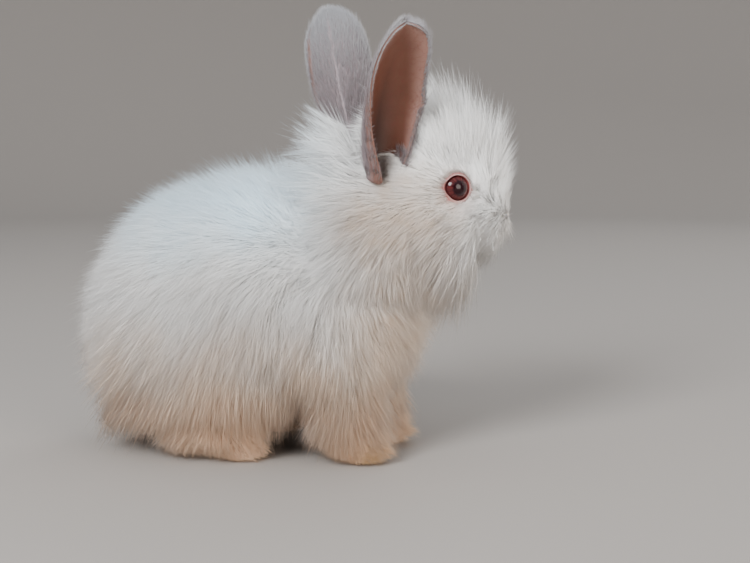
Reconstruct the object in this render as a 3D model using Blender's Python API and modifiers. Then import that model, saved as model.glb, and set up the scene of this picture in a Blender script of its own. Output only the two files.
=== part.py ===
"""Young white angora rabbit, about five weeks old, as a still life-size model.

It stands on four small flats at z = 0 with its nose towards +X, its left side
towards +Y, and its head turned a little to its left. Sizes are in millimetres
until a mesh is made, and MM turns them into Blender's metres.
"""

import math

import bmesh
import bpy
import numpy as np
from mathutils import Matrix, Vector
from mathutils.bvhtree import BVHTree

MM = 0.001
GAP = 0.3  # between nodes that meet face to face

# Driving sizes of the trunk
BODY_TOP = 107.0  # skin height at the loin
BODY_HALF_WIDTH = 31.0
RUMP_X = -40.0
CHEST_X = 18.0
FORE_FOOT = Vector((29.0, 17.0))  # middle of a forefoot on the floor, left side
HIND_FOOT = Vector((-26.0, 25.0))  # middle of a hind foot on the floor, left side

# Driving sizes of the head
HEAD_CENTRE = Vector((49.7, 1.6, 114.9))
HEAD_YAW = 30.0  # degrees, to the rabbit's left
HEAD_PITCH = 16.0  # degrees, nose down
EYE_RADIUS = 6.6
EYE_PLACE = Vector((12.1, 11.0, 1.5))  # left eye, in the head's own frame
LID_WALL = 1.1
APERTURE = (5.9, 5.3)  # half width and half height between the lids
NOSE_TIP_X = 43.0
EAR_LENGTH = 67.0
EAR_WIDTH = 28.0
EAR_WALL = 2.0
EAR_OPENING = 66.0  # degrees that an ear's hollow faces away from straight ahead
# Each ear, left and right: its base in the head's own frame, degrees forward, degrees out to its side
EARS = {1: (Vector((-21.0, 13.0, 2.0)), -5.0, 19.0), -1: (Vector((-17.0, -13.0, -3.0)), 3.0, 24.0)}
SQUAT = 3.0  # how much lower the trunk and head sit than the heights given below

# Driving sizes of the coat
SPREAD = 7.0  # how softly one mark's coat passes into the next
LEAST_CORE = 4.0  # the solid core is half as deep as the coat, but no less than this
SHORTEST = 8.0  # coat depth under which the fur is left to the smooth core
LOCK_THICKNESS = 2.6
LOCK_RINGS = ((0.0, 0.75, 1.0), (0.36, 1.0, 1.0), (0.72, 0.72, 0.8))  # place along, width, thickness
SINK = 4.0  # how deep a root goes into the core
HEM = 6.0  # lowest that a tip hangs
STEEPEST = 58.0  # degrees that a lock may stand up at its root


def turn(roll=0.0, pitch=0.0, yaw=0.0):
    """Rotation by degrees: roll about X, then pitch about Y, nose down, then yaw about Z."""
    return (
        Matrix.Rotation(math.radians(yaw), 4, "Z")
        @ Matrix.Rotation(math.radians(pitch), 4, "Y")
        @ Matrix.Rotation(math.radians(roll), 4, "X")
    )


BODY = Matrix.Translation((0, 0, -SQUAT))
HEAD = BODY @ Matrix.Translation(HEAD_CENTRE) @ turn(pitch=HEAD_PITCH, yaw=HEAD_YAW)


def both_sides(rows):
    """Each row's first value is a place; a row off the middle plane also gets its mirror image."""
    out = []
    for place, *rest in rows:
        out.append((place, *rest))
        if place[1]:
            x, y, z = place
            out.append(((x, -y, z), *rest))
    return out


# Flesh: centre, radii and pitch of each rounded mass
TRUNK_FLESH = both_sides([
    ((RUMP_X, 0, 63), (37, BODY_HALF_WIDTH, 39), 0),
    ((-20, 0, BODY_TOP - 38), (42, BODY_HALF_WIDTH, 38), 0),
    ((-8, 0, 50), (44, 29, 24), 0),
    ((CHEST_X, 0, 59), (26, 23, 30), 0),
    ((16, 15, 58), (15, 10, 26), 0),
    ((-36, 20, 46), (30, 14, 25), 0),
    ((-51, 13, 37), (22, 15, 20), 0),
    ((33, 1, 92), (20, 19, 29), 35),
])
HEAD_FLESH = both_sides([
    ((0, 0, 0), (24, 18.5, 19.5), 0),
    ((14, 0, 2), (19, 15, 16.5), 0),
    ((27, 0, -5.5), (15, 10.5, 11), 0),
    ((13, 10, -8), (15, 10.5, 13), 0),
    ((21, 0, -13), (15, 8.5, 7.5), 0),
    ((34, 3.8, -8.5), (6.5, 5, 5), 0),
    ((NOSE_TIP_X - 5, 0, -3.5), (5, 5, 5), 0),
])
TAIL_FLESH = [((-81, 0, 47), (8, 8.5, 13), -12)]

# Legs, each from its own place on the floor: rounded masses as above, and where its toes end
FORELEG_FLESH = [
    ((-4, 0, 32), (13, 11, 28), 0),
    ((-2, 0, 8), (13.5, 10, 8.5), 0),
    ((5, 0, 4.5), (9, 8, 6), 0),
]
HINDLEG_FLESH = [
    ((-1, 0, 9), (18, 9, 10), 0),
    ((8, 0, 5), (15, 8, 6.5), 0),
    ((-14, 0, 8), (11, 8, 9), 0),
]
FORE_TOES = [(11.0, -5.4), (13.0, -1.9), (13.0, 1.9), (11.0, 5.4)]
HIND_TOES = [(17.5, -5.0), (20.0, -1.7), (20.0, 1.9), (17.5, 5.2)]


class Mark:
    """A place on the coat: how deep it is there, where it points and how far it stands up."""

    def __init__(self, frame, place, depth, lie, stand):
        self.place = frame @ Vector(place)
        self.depth = depth
        self.lie = (frame.to_3x3() @ Vector(lie)).normalized()
        self.stand = stand


def marks_on(frame, rows):
    """Marks from (place, depth, lie, stand angle) rows, mirrored where they are off the middle plane."""
    out = []
    for place, depth, lie, stand in rows:
        out.append(Mark(frame, place, depth, lie, stand))
        if place[1]:
            (x, y, z), (u, v, w) = place, lie
            out.append(Mark(frame, (x, -y, z), depth, (u, -v, w), stand))
    return out


COAT = marks_on(BODY, [
    ((6, 0, 110), 21, (-0.9, 0, 0.35), 45),
    ((18, 0, 113), 25, (-1, 0, 0.25), 42),
    ((-12, 0, 107), 17, (-1, 0, 0.05), 32),
    ((-34, 0, 106), 17, (-1, 0, 0), 30),
    ((-60, 0, 92), 17, (-0.8, 0, -0.5), 30),
    ((-75, 0, 72), 18, (-0.5, 0, -1), 30),
    ((-77, 0, 48), 11, (-0.35, 0, -1), 32),
    ((-66, 20, 50), 19, (-0.4, 0.1, -1), 30),
    ((-66, 0, 30), 18, (-0.35, 0, -1), 30),
    ((-60, 25, 30), 16, (-0.25, 0.1, -1), 28),
    ((-25, 33, 64), 17, (-0.3, 0.05, -1), 28),
    ((15, 27, 66), 16, (-0.1, 0.05, -1), 28),
    ((-38, 35, 42), 20, (-0.25, 0.1, -1), 28),
    ((-40, 18, 22), 11, (-0.25, 0.1, -1), 28),
    ((-8, 28, 36), 17, (-0.1, 0.15, -1), 28),
    ((-12, 0, 25), 11, (-0.6, 0, -0.6), 25),
    ((45, 0, 58), 16, (0.3, 0, -1), 34),
    ((36, 0, 38), 13, (0.1, 0, -1), 30),
    ((46, 2, 80), 20, (0.1, 0, -1), 32),
    ((26, 18, 96), 18, (-0.7, 0.2, -0.7), 35),
    ((26, 29, 26), 9, (0, 0.15, -1), 18),
    ((38, 18, 26), 8, (0.1, 0, -1), 18),
    ((-86, 0, 47), 14, (-0.3, 0, -1), 28),
]) + marks_on(HEAD, [
    ((26, 0, 12), 15, (-0.6, 0, 0.8), 45),
    ((32, 0, 5), 8, (-1, 0, 0.35), 30),
    ((NOSE_TIP_X - 4, 0, 1), 3, (-1, 0, 0.3), 20),
    ((24, 10, 2), 6, (-1, 0.2, 0.2), 25),
    ((19, 16, -6), 5, (-1, 0.2, -0.3), 25),
    ((4, 18, 2), 6, (-1, 0.2, 0), 25),
    ((14, 10, 15), 15, (-0.6, 0.3, 0.8), 45),
    ((NOSE_TIP_X, 0, -4), 0.6, (-1, 0, 0.3), 20),
    ((14, 0, 17), 19, (-0.5, 0, 0.9), 50),
    ((2, 0, 20), 22, (-0.3, 0, 1), 50),
    ((0, 14, 14), 19, (-0.3, 0.7, 0.8), 45),
    ((-16, 0, 16), 26, (-1, 0, 0.5), 45),
    ((-24, 0, 0), 25, (-1, 0, 0.1), 42),
    ((13, 16, 2), 3, (-1, 0.1, 0), 15),
    ((-10, 18, 6), 5, (-1, 0.2, 0.2), 30),
    ((8, 18, -10), 14, (-0.6, 0.35, -0.6), 35),
    ((32, 9, -4), 3, (-1, 0.3, 0.1), 25),
    ((19, 10, -18), 24, (-0.1, 0.25, -1), 35),
    ((28, 0, -19), 28, (0.2, 0, -1), 35),
    ((37, 7, -8), 3.5, (-0.7, 0.5, -0.2), 25),
    ((36, 0, -13), 4.0, (-0.2, 0, -1), 25),
])
PLACES = np.array([mark.place for mark in COAT])
DEPTHS = np.array([mark.depth for mark in COAT])
LIES = np.array([mark.lie for mark in COAT])
STANDS = np.array([mark.stand for mark in COAT])


def coat_at(point):
    """Depth, lie and stand angle of the coat at a point, from the marks round it."""
    away = ((PLACES - np.array(point)) ** 2).sum(1)
    weight = (away + SPREAD**2) ** -3.0
    weight /= weight.sum()
    lie = Vector(weight @ LIES).normalized()
    return float(weight @ DEPTHS), lie, float(weight @ STANDS)


def core_rise(depth):
    """How far the solid core stands over the skin: all of a short coat, half of a long one."""
    return min(depth, max(LEAST_CORE, 0.5 * depth))


def clear_scene():
    for obj in list(bpy.data.objects):
        bpy.data.objects.remove(obj)


def object_from(bm, name):
    """A new object from a bmesh in millimetres."""
    mesh = bpy.data.meshes.new(name)
    bm.to_mesh(mesh)
    bm.free()
    obj = bpy.data.objects.new(name, mesh)
    bpy.context.scene.collection.objects.link(obj)
    return obj


def ellipsoid(bm, frame, centre, radii, pitch=0.0, detail=3):
    """Adds an ellipsoid to a bmesh."""
    place = frame @ Matrix.Translation(centre) @ turn(pitch=pitch)
    bmesh.ops.create_icosphere(
        bm, subdivisions=detail, radius=1.0, matrix=place @ Matrix.Diagonal((*radii, 1.0))
    )


def apply_modifiers(obj):
    """Replaces the object's mesh by its evaluated one."""
    graph = bpy.context.evaluated_depsgraph_get()
    graph.update()
    mesh = bpy.data.meshes.new_from_object(obj.evaluated_get(graph))
    obj.modifiers.clear()
    old, obj.data = obj.data, mesh
    bpy.data.meshes.remove(old)
    return obj


def remeshed(obj, voxel, smoothing=4):
    """One smooth closed surface round all the pieces of obj."""
    remesh = obj.modifiers.new("remesh", "REMESH")
    remesh.mode = "VOXEL"
    remesh.voxel_size = voxel
    smooth = obj.modifiers.new("smooth", "SMOOTH")
    smooth.iterations = smoothing
    smooth.factor = 0.5
    return apply_modifiers(obj)


def decimated(obj, triangles):
    """obj with about that many triangles."""
    now = sum(len(p.vertices) - 2 for p in obj.data.polygons)
    decimate = obj.modifiers.new("decimate", "DECIMATE")
    decimate.ratio = min(1.0, triangles / now)
    decimate.use_collapse_triangulate = True
    return apply_modifiers(obj)


def grow(obj, rise):
    """Moves each vertex out by rise(depth of the coat there)."""
    bm = bmesh.new()
    bm.from_mesh(obj.data)
    bm.normal_update()
    moves = [v.normal * rise(coat_at(v.co)[0]) for v in bm.verts]
    for v, move in zip(bm.verts, moves):
        v.co += move
    bm.to_mesh(obj.data)
    bm.free()


def body_core(name, frame, flesh, voxel, triangles, rise):
    """The solid core of the trunk or head, out to rise over the skin."""
    bm = bmesh.new()
    for centre, radii, pitch in flesh:
        ellipsoid(bm, frame, centre, radii, pitch)
    obj = remeshed(object_from(bm, name), voxel, smoothing=6)
    grow(obj, rise)
    return decimated(remeshed(obj, voxel, smoothing=10), triangles)


def boolean(obj, other, operation):
    """Applies a Boolean with one object, or with a collection of them."""
    modifier = obj.modifiers.new(operation, "BOOLEAN")
    modifier.operation = operation
    modifier.solver = "MANIFOLD"
    if isinstance(other, bpy.types.Collection):
        modifier.operand_type = "COLLECTION"
        modifier.collection = other
    else:
        modifier.object = other
    return apply_modifiers(obj)


def join_all(obj, others):
    """One solid from obj and others, which are removed."""
    group = bpy.data.collections.new("joining")
    for other in others:
        group.objects.link(other)
    boolean(obj, group, "UNION")
    for other in others:
        bpy.data.objects.remove(other)
    bpy.data.collections.remove(group)
    return obj


def cut(obj, cutter, keep_cutter=True):
    boolean(obj, cutter, "DIFFERENCE")
    if not keep_cutter:
        bpy.data.objects.remove(cutter)
    return obj


def copy_of(obj, name):
    twin = obj.copy()
    twin.data = obj.data.copy()
    twin.name = name
    bpy.context.scene.collection.objects.link(twin)
    return twin


def keep_largest(obj):
    """Drops every loose scrap but the largest closed surface."""
    bm = bmesh.new()
    bm.from_mesh(obj.data)
    left, groups = set(bm.verts), []
    while left:
        front = [left.pop()]
        group = set(front)
        while front:
            for edge in front.pop().link_edges:
                for v in edge.verts:
                    if v in left:
                        left.discard(v)
                        group.add(v)
                        front.append(v)
        groups.append(group)
    largest = max(groups, key=len)
    bmesh.ops.delete(bm, geom=[v for v in bm.verts if v not in largest], context="VERTS")
    bmesh.ops.triangulate(bm, faces=bm.faces)
    bm.to_mesh(obj.data)
    bm.free()
    return obj


def region(name, planes):
    """A large box cut back to the inner side of each (point, outward normal) plane."""
    bm = bmesh.new()
    bmesh.ops.create_cube(bm, size=800.0)
    for point, normal in planes:
        cut_through = bmesh.ops.bisect_plane(
            bm,
            geom=bm.verts[:] + bm.edges[:] + bm.faces[:],
            plane_co=Vector(point),
            plane_no=Vector(normal),
            clear_outer=True,
        )["geom_cut"]
        rim = [g for g in cut_through if isinstance(g, bmesh.types.BMEdge)]
        bmesh.ops.edgeloop_fill(bm, edges=rim)
    bmesh.ops.recalc_face_normals(bm, faces=bm.faces)
    return object_from(bm, name)


def hull_round(obj, name, clearance):
    """The convex hull of obj, with at least clearance to it everywhere."""
    bm = bmesh.new()
    for v in obj.data.vertices:
        for dx in (-clearance, clearance):
            for dy in (-clearance, clearance):
                for dz in (-clearance, clearance):
                    bm.verts.new(v.co + Vector((dx, dy, dz)))
    hull = bmesh.ops.convex_hull(bm, input=bm.verts)
    inside = set(hull["geom_interior"]) | set(hull["geom_unused"])
    spare = [g for g in inside if isinstance(g, bmesh.types.BMVert)]
    bmesh.ops.delete(bm, geom=spare, context="VERTS")
    bmesh.ops.recalc_face_normals(bm, faces=bm.faces)
    return object_from(bm, name)


def block(name, outline, y0, y1):
    """A closed block: an outline of (x, z) corners carried from y0 to y1."""
    bm = bmesh.new()
    for y in (y0, y1):
        for x, z in outline:
            bm.verts.new((x, y, z))
    bmesh.ops.convex_hull(bm, input=bm.verts)
    bmesh.ops.recalc_face_normals(bm, faces=bm.faces)
    return object_from(bm, name)


def tube(name, points, radius, sides=6):
    """A closed tube of one radius along points."""
    bm = bmesh.new()
    rings = []
    for i, point in enumerate(points):
        ahead = points[min(i + 1, len(points) - 1)] - points[max(i - 1, 0)]
        across = Vector((0, 0, 1)).rotation_difference(ahead).to_matrix()
        ring = []
        for k in range(sides):
            angle = 2 * math.pi * k / sides
            out = across @ Vector((math.cos(angle), math.sin(angle), 0))
            ring.append(bm.verts.new(point + out * radius))
        rings.append(ring)
    for below, above in zip(rings, rings[1:]):
        for k in range(sides):
            bm.faces.new((below[k], below[(k + 1) % sides], above[(k + 1) % sides], above[k]))
    bm.faces.new(rings[0][::-1])
    bm.faces.new(rings[-1])
    bmesh.ops.recalc_face_normals(bm, faces=bm.faces)
    return object_from(bm, name)


def solid_ellipsoid(name, frame, centre, radii, pitch=0.0, detail=3):
    bm = bmesh.new()
    ellipsoid(bm, frame, centre, radii, pitch, detail)
    return object_from(bm, name)


def surface_tree(obj):
    bm = bmesh.new()
    bm.from_mesh(obj.data)
    tree = BVHTree.FromBMesh(bm)
    bm.free()
    return tree


def eye_axis(side):
    """Place of an eye's centre and the way that it looks."""
    x, y, z = EYE_PLACE
    outward = HEAD.to_3x3() @ Vector((0.18, side, 0.06)).normalized()
    return HEAD @ Vector((x, side * y, z)), outward


def eyeball(name, side, radius):
    """A ball in an eye's place, its poles on the way that the eye looks."""
    centre, outward = eye_axis(side)
    gaze = Vector((0, 0, 1)).rotation_difference(outward).to_matrix().to_4x4()
    place = Matrix.Translation(centre) @ gaze
    bm = bmesh.new()
    bmesh.ops.create_uvsphere(bm, u_segments=14, v_segments=8, radius=radius, matrix=place)
    bmesh.ops.triangulate(bm, faces=bm.faces)
    return object_from(bm, name)


def eye_opening(side):
    """The column that opens the lids and the fur in front of an eye."""
    centre, outward = eye_axis(side)
    across = outward.cross(Vector((0, 0, 1))).normalized()
    up = across.cross(outward)
    bm = bmesh.new()
    rings = []
    for out, wide in ((3.0, 0.96), (7.6, 1.0), (12.0, 1.5), (30.0, 3.0)):
        ring = []
        for k in range(20):
            angle = 2 * math.pi * k / 20
            reach = across * APERTURE[0] * math.cos(angle) + up * APERTURE[1] * math.sin(angle)
            ring.append(bm.verts.new(centre + outward * out + reach * wide))
        rings.append(ring)
    for below, above in zip(rings, rings[1:]):
        for k in range(20):
            bm.faces.new((below[k], below[(k + 1) % 20], above[(k + 1) % 20], above[k]))
    bm.faces.new(rings[0][::-1])
    bm.faces.new(rings[-1])
    bmesh.ops.recalc_face_normals(bm, faces=bm.faces)
    return object_from(bm, "eye_opening")


def face_details(head):
    """Lids, nostrils, the cleft under the nose and the line of the mouth."""
    join_all(head, [eyeball("lid", side, EYE_RADIUS + GAP + LID_WALL) for side in (1, -1)])
    tree = surface_tree(head)

    def on_skin(x, y, z):
        """Where a ray from inside the muzzle towards a head-frame point meets the surface."""
        start = HEAD @ Vector((24, 0, -6))
        toward = (HEAD @ Vector((x, y, z)) - start).normalized()
        return tree.ray_cast(start + toward * 60, -toward)[0]

    cutters = [tube("cleft", [on_skin(48, 0, z) for z in (-5.5, -7.5, -9.5, -11.0)], 0.6)]
    for side in (1, -1):
        line = [(44, -side * 0.8, -10.5), (44, 0, -10.5)]
        line += [(42, side * 3.5, -12.0), (39, side * 6.5, -12.8), (36, side * 8.5, -12.6)]
        cutters.append(tube("mouth", [on_skin(*place) for place in line], 0.7))
        at = Matrix.Translation(on_skin(46, side * 4.2, -3.2)) @ turn(roll=side * 40.0, yaw=HEAD_YAW)
        cutters.append(solid_ellipsoid("nostril", at, (0, 0, 0), (1.6, 0.7, 1.7), detail=2))
    for cutter in cutters:
        cut(head, cutter, keep_cutter=False)
    return head


def ear_vane(name, side):
    """One ear in place: a cupped vane rolled up towards its base, with a solid root."""
    rows, columns = 10, 7
    bm = bmesh.new()
    grid = []
    for i in range(rows + 1):
        up = 1 - (1 - i / rows) ** 1.25  # 0 at the base, 1 at the tip
        narrowing = math.sqrt(max(0.0, 1 - max(0.0, (up - 0.52) / 0.49) ** 2.4))
        chord = max(EAR_WIDTH * min(1.0, 0.42 + 1.15 * up) * narrowing, 2.5)
        span = math.radians(min(290.0, 285 * (1 - up) ** 2.2 + 95 * min(1.0, 1.6 * up + 0.2)))
        radius = chord / (2 * math.sin(min(span, math.pi) / 2))
        lean = 5.0 * math.sin(math.pi * up) - 2.0 * up
        row = []
        for j in range(columns + 1):
            angle = span * (j / columns - 0.5)
            depth = radius * (1 - math.cos(angle)) - lean
            row.append(bm.verts.new((depth, radius * math.sin(angle), EAR_LENGTH * up)))
        grid.append(row)
    for below, above in zip(grid, grid[1:]):
        for j in range(columns):
            a, b, c, d = below[j], below[j + 1], above[j + 1], above[j]
            if side > 0:
                bm.faces.new((a, b, c))
                bm.faces.new((a, c, d))
            else:
                bm.faces.new((a, b, d))
                bm.faces.new((b, c, d))
    obj = object_from(bm, name)
    solidify = obj.modifiers.new("wall", "SOLIDIFY")
    solidify.thickness = EAR_WALL
    solidify.offset = 0.0
    apply_modifiers(obj)
    root = solid_ellipsoid("root", Matrix.Identity(4), (5.5, 0, -3), (6.5, 6.5, 8.0), detail=2)
    boolean(obj, root, "UNION")
    bpy.data.objects.remove(root)
    obj.data.transform(ear_place(side))
    return keep_largest(obj)


def ear_place(side):
    """Puts an ear on the head, its hollow turned outward."""
    base, forward, splay = EARS[side]
    on_head = Matrix.Translation(HEAD @ base) @ turn(roll=-side * splay, pitch=forward, yaw=HEAD_YAW)
    return on_head @ turn(yaw=side * EAR_OPENING) @ Matrix.Translation((-6.0, 0, 0))


def leg(name, foot, side, flesh, toes, toe_size):
    """A leg down to its toes, flat on the floor."""
    bm = bmesh.new()
    at_foot = Matrix.Diagonal((1, side, 1, 1)) @ Matrix.Translation((foot.x, foot.y, 0))
    for centre, radii, pitch in flesh:
        ellipsoid(bm, at_foot, centre, radii, pitch)
    for x, y in toes:
        ellipsoid(bm, at_foot, (x - toe_size[0], y, toe_size[2] - 0.6), toe_size)
    obj = decimated(remeshed(object_from(bm, name), 1.0, smoothing=2), 310)
    return cut(obj, region("floor", [((0, 0, 0), (0, 0, 1))]), keep_cutter=False)


# Rooms of the legs, which are carved out of the whole: (x, z) corners, and the range in y on the left
LEG_ROOMS = {
    "foreleg": ([(11, -5), (46, -5), (46, 14), (41, 38), (28, 46), (14, 42), (9, 20)], (4, 75)),
    "hindleg": (
        [(-66, -5), (-3, -5), (-3, 12), (-12, 46), (-30, 60), (-52, 58), (-70, 40), (-73, 16)],
        (10, 75),
    ),
}
TAIL_ROOM = ((-95, 0, 50), (22, 15, 27))  # centre and radii
NAPE, CHIN = ((3, 0, 122), (-3, 0, 110)), ((58, 0, 65), (46, 0, 49))  # ends of the joints' planes


def joint_plane(upper, lower):
    """Point and normal, towards the head, of the plane through two points of the middle plane."""
    a, b = Vector(upper), Vector(lower)
    along = b - a
    return a, Vector((-along.z, 0, along.x)).normalized()


def zones():
    """Inner half-spaces of each trunk node, half a gap clear of its neighbours."""
    head_at, head_up = joint_plane(NAPE[0], CHIN[0])
    neck_at, neck_up = joint_plane(NAPE[1], CHIN[1])
    half = 0.5 * GAP
    return {
        "head": [(head_at + head_up * half, -head_up)],
        "neck": [(head_at - head_up * half, head_up), (neck_at + neck_up * half, -neck_up)],
        "torso": [(neck_at - neck_up * half, neck_up)],
    }


def material(name, colour, roughness):
    made = bpy.data.materials.new(name)
    made.use_nodes = True
    shader = made.node_tree.nodes["Principled BSDF"]
    shader.inputs["Base Color"].default_value = (*colour, 1.0)
    shader.inputs["Roughness"].default_value = roughness
    return made


def lock_path(tree, root, normal, lie, length, stand, steps=4):
    """Points from a sunk root out to the tip, rising off the surface and bending over along the lie."""
    flat = (lie - normal * lie.dot(normal)).normalized()
    way = flat * math.cos(stand) + normal * math.sin(stand)
    points, ways = [root - normal * SINK], [way]
    at = root.copy()
    for _ in range(steps):
        points.append(at.copy())
        near, up, _, _ = tree.find_nearest(at)
        along = coat_at(at)[1]
        along = (along - up * along.dot(up)).normalized()
        way = (way * 0.55 + along * 0.40 + Vector((0, 0, -0.14))).normalized()
        ways.append(way)
        at = at + way * (length / steps)
    points.append(at)
    ways.append(way)
    return points, ways


def reach_over(tree, point):
    """Height of a point over the surface, less than nothing inside it."""
    near, up, _, _ = tree.find_nearest(point)
    away = point - near
    return away.length if away.dot(up) > 0 else -away.length


def lock(name, tree, root, normal, rng):
    """One flat tapered lock of hair, or nothing where the coat is short."""
    depth, lie, stand = coat_at(root)
    if depth < SHORTEST:
        return None
    free = depth - core_rise(depth)
    lie = (lie + Vector(rng.normal(0, 0.13, 3))).normalized()
    stand = math.radians(stand * rng.uniform(0.85, 1.2))
    length = min(27.0, 1.5 * depth) * rng.uniform(0.88, 1.12)
    for _ in range(8):
        points, ways = lock_path(tree, root, normal, lie, length, stand)
        reach = reach_over(tree, points[-1])
        if points[-1].z < HEM:
            length *= 0.82
        elif reach > free + 2.0:
            stand = max(stand * 0.8, math.radians(15))
        elif reach < free - 1.0:
            stand = min(stand * 1.2, math.radians(STEEPEST))
        else:
            break
    if points[-1].z < HEM - 2 or length < 7.0:
        return None
    width = min(12.5, 4.0 + 0.5 * depth) * rng.uniform(0.85, 1.15)
    twist = math.radians(rng.uniform(-22, 22))
    bm = bmesh.new()
    rings = []
    for (along, wide, thick), point, way in zip(LOCK_RINGS, ring_places(points), ring_places(ways)):
        way.normalize()
        across = Matrix.Rotation(twist, 3, way) @ way.cross(normal).normalized()
        half = across * width * 0.5 * wide
        ridge = across.cross(way) * LOCK_THICKNESS * thick
        corners = (half - ridge * 0.3, ridge * 0.7, -half - ridge * 0.3)
        rings.append([bm.verts.new(point + corner) for corner in corners])
    tip = bm.verts.new(points[-1])
    for below, above in zip(rings, rings[1:]):
        for k in range(3):
            bm.faces.new((below[k], below[(k + 1) % 3], above[(k + 1) % 3], above[k]))
    for k in range(3):
        bm.faces.new((rings[-1][k], rings[-1][(k + 1) % 3], tip))
    bm.faces.new(rings[0][::-1])
    bmesh.ops.triangulate(bm, faces=bm.faces)
    bmesh.ops.recalc_face_normals(bm, faces=bm.faces)
    return object_from(bm, name)


def ring_places(points):
    """Points on a polyline at the share of its steps that each ring of a lock names."""
    out = []
    for along, *_ in LOCK_RINGS:
        place = along * (len(points) - 1)
        i = min(int(place), len(points) - 2)
        out.append(points[i].lerp(points[i + 1], place - i))
    return out


def strewn(obj, rng, tries=12000):
    """Places strewn over the coat, each clear of the last ones by a spacing that suits its depth."""
    mesh = obj.data
    mesh.calc_loop_triangles()
    corners = np.array([v.co[:] for v in mesh.vertices])
    faces = np.array([t.vertices[:] for t in mesh.loop_triangles])
    a, b, c = (corners[faces[:, k]] for k in range(3))
    cross = np.cross(b - a, c - a)
    area = np.linalg.norm(cross, axis=1)
    picks = rng.choice(len(faces), tries, p=area / area.sum())
    u, v = rng.random(tries), rng.random(tries)
    flip = u + v > 1
    u[flip], v[flip] = 1 - u[flip], 1 - v[flip]
    places = a[picks] + (b - a)[picks] * u[:, None] + (c - a)[picks] * v[:, None]
    normals = cross[picks] / area[picks][:, None]
    kept = []
    for place, normal in zip(places, normals):
        if not locks_grow(place, normal):
            continue
        apart = spacing(place)
        if kept and (((np.array([k[0] for k in kept]) - place) ** 2).sum(1) < apart**2).any():
            continue
        kept.append((place, normal))
    return kept


def spacing(place):
    """How far apart locks start: wide on the forelegs, close on the head."""
    if place[0] > 5 and place[2] < 34:
        return 12.0
    on_head = place[0] > 15 and place[2] > 85
    return 5.5 + 0.42 * coat_at(place)[0] - (2.6 if on_head else 0.0)


def locks_grow(place, normal):
    """True off the feet, the underside and the skin round the eyes."""
    if place[2] < 15.0 or (normal[2] < -0.45 and place[2] < 45):
        return False
    for side in (1, -1):
        if (Vector(place) - eye_axis(side)[0]).length < 13.5:
            return False
    return True


def main():
    clear_scene()
    rng = np.random.default_rng(11)
    whole = body_core("whole", BODY, TRUNK_FLESH, 2.5, 750, core_rise)
    head = body_core("head_form", HEAD, HEAD_FLESH, 1.3, 950, core_rise)
    parts = [body_core("tail_form", BODY, TAIL_FLESH, 1.5, 90, core_rise)]
    for side in (1, -1):
        parts.append(leg("foreleg_form", FORE_FOOT, side, FORELEG_FLESH, FORE_TOES, (5.0, 2.3, 3.6)))
        parts.append(leg("hindleg_form", HIND_FOOT, side, HINDLEG_FLESH, HIND_TOES, (5.5, 2.3, 3.6)))
    face_details(head)
    join_all(whole, [head] + parts)
    tree = surface_tree(whole)
    locks = []
    for place, normal in strewn(whole, rng):
        one = lock("lock", tree, Vector(place), Vector(normal), rng)
        if one:
            locks.append(one)
    print("locks", len(locks))
    join_all(whole, locks)

    nodes = {}
    for side, word in ((1, "left"), (-1, "right")):
        nodes["eye_" + word] = eyeball("eye_" + word, side, EYE_RADIUS)
        cut(whole, eye_opening(side), keep_cutter=False)
        cut(whole, eyeball("socket", side, EYE_RADIUS + GAP + 0.05), keep_cutter=False)
        ear = ear_vane("ear_" + word, side)
        nodes["ear_" + word] = ear
        cut(whole, hull_round(ear, "ear_room", GAP), keep_cutter=False)

    rooms = {"tail": solid_ellipsoid("room", BODY, *TAIL_ROOM, detail=2)}
    for kind, (outline, (y0, y1)) in LEG_ROOMS.items():
        for side, word in ((1, "_left"), (-1, "_right")):
            rooms[kind + word] = block("room", outline, side * y0, side * y1)
    for name, room in rooms.items():
        piece = copy_of(whole, name)
        boolean(piece, room, "INTERSECT")
        nodes[name] = keep_largest(piece)
        cut(whole, hull_round(room, "wide_room", GAP), keep_cutter=False)
        bpy.data.objects.remove(room)
    for name, planes in zones().items():
        piece = copy_of(whole, name)
        zone = region("zone", planes)
        boolean(piece, zone, "INTERSECT")
        bpy.data.objects.remove(zone)
        nodes[name] = keep_largest(piece)
    bpy.data.objects.remove(whole)
    finish(nodes)


def finish(nodes):
    """Stands the model over the origin in metres and gives each node its name and colour."""
    corners = np.array([v.co[:] for obj in nodes.values() for v in obj.data.vertices])
    low, high = corners.min(0), corners.max(0)
    shift = Vector(((low[0] + high[0]) / -2, (low[1] + high[1]) / -2, -low[2]))
    fit = Matrix.Scale(MM, 4) @ Matrix.Translation(shift)
    total = 0
    for name, obj in nodes.items():
        obj.name = name
        obj.data.transform(fit)
        obj.data.materials.clear()
        obj.data.materials.append(coat_material(name))
        count = len(obj.data.polygons)
        total += count
        print(name, count, "triangles")
    print("in all", total, "triangles, size in mm", np.round(high - low, 1))


def coat_material(name):
    if name.startswith("eye"):
        return material(name + "_colour", (0.35, 0.02, 0.02), 0.1)
    if name.startswith("ear"):
        return material(name + "_colour", (0.75, 0.62, 0.58), 0.8)
    return material(name + "_colour", (0.86, 0.84, 0.81), 0.9)


if __name__ == "__main__":
    main()
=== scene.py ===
# %% [markdown]
# # A young angora rabbit
# The real animal is a white kit of about five weeks, standing square on a floor with its head turned
# a little to its left. Almost nothing of its body shows: what we see is coat, two ears and an eye.
# So this lesson builds a smooth skin first, as a taxidermist would, then grows the coat over it as
# some three hundred thousand thin tufts, and ends with the small bare parts that give the face its life.
#
# Everything is placed in the rabbit's own frame, in millimetres: +X is forward, +Y its left, +Z up.
# Only the last step of each piece turns millimetres into Blender's metres.

import math

import bmesh
import bpy
import numpy as np
from mathutils import Matrix, Vector
from mathutils.bvhtree import BVHTree
from mathutils.kdtree import KDTree


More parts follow.
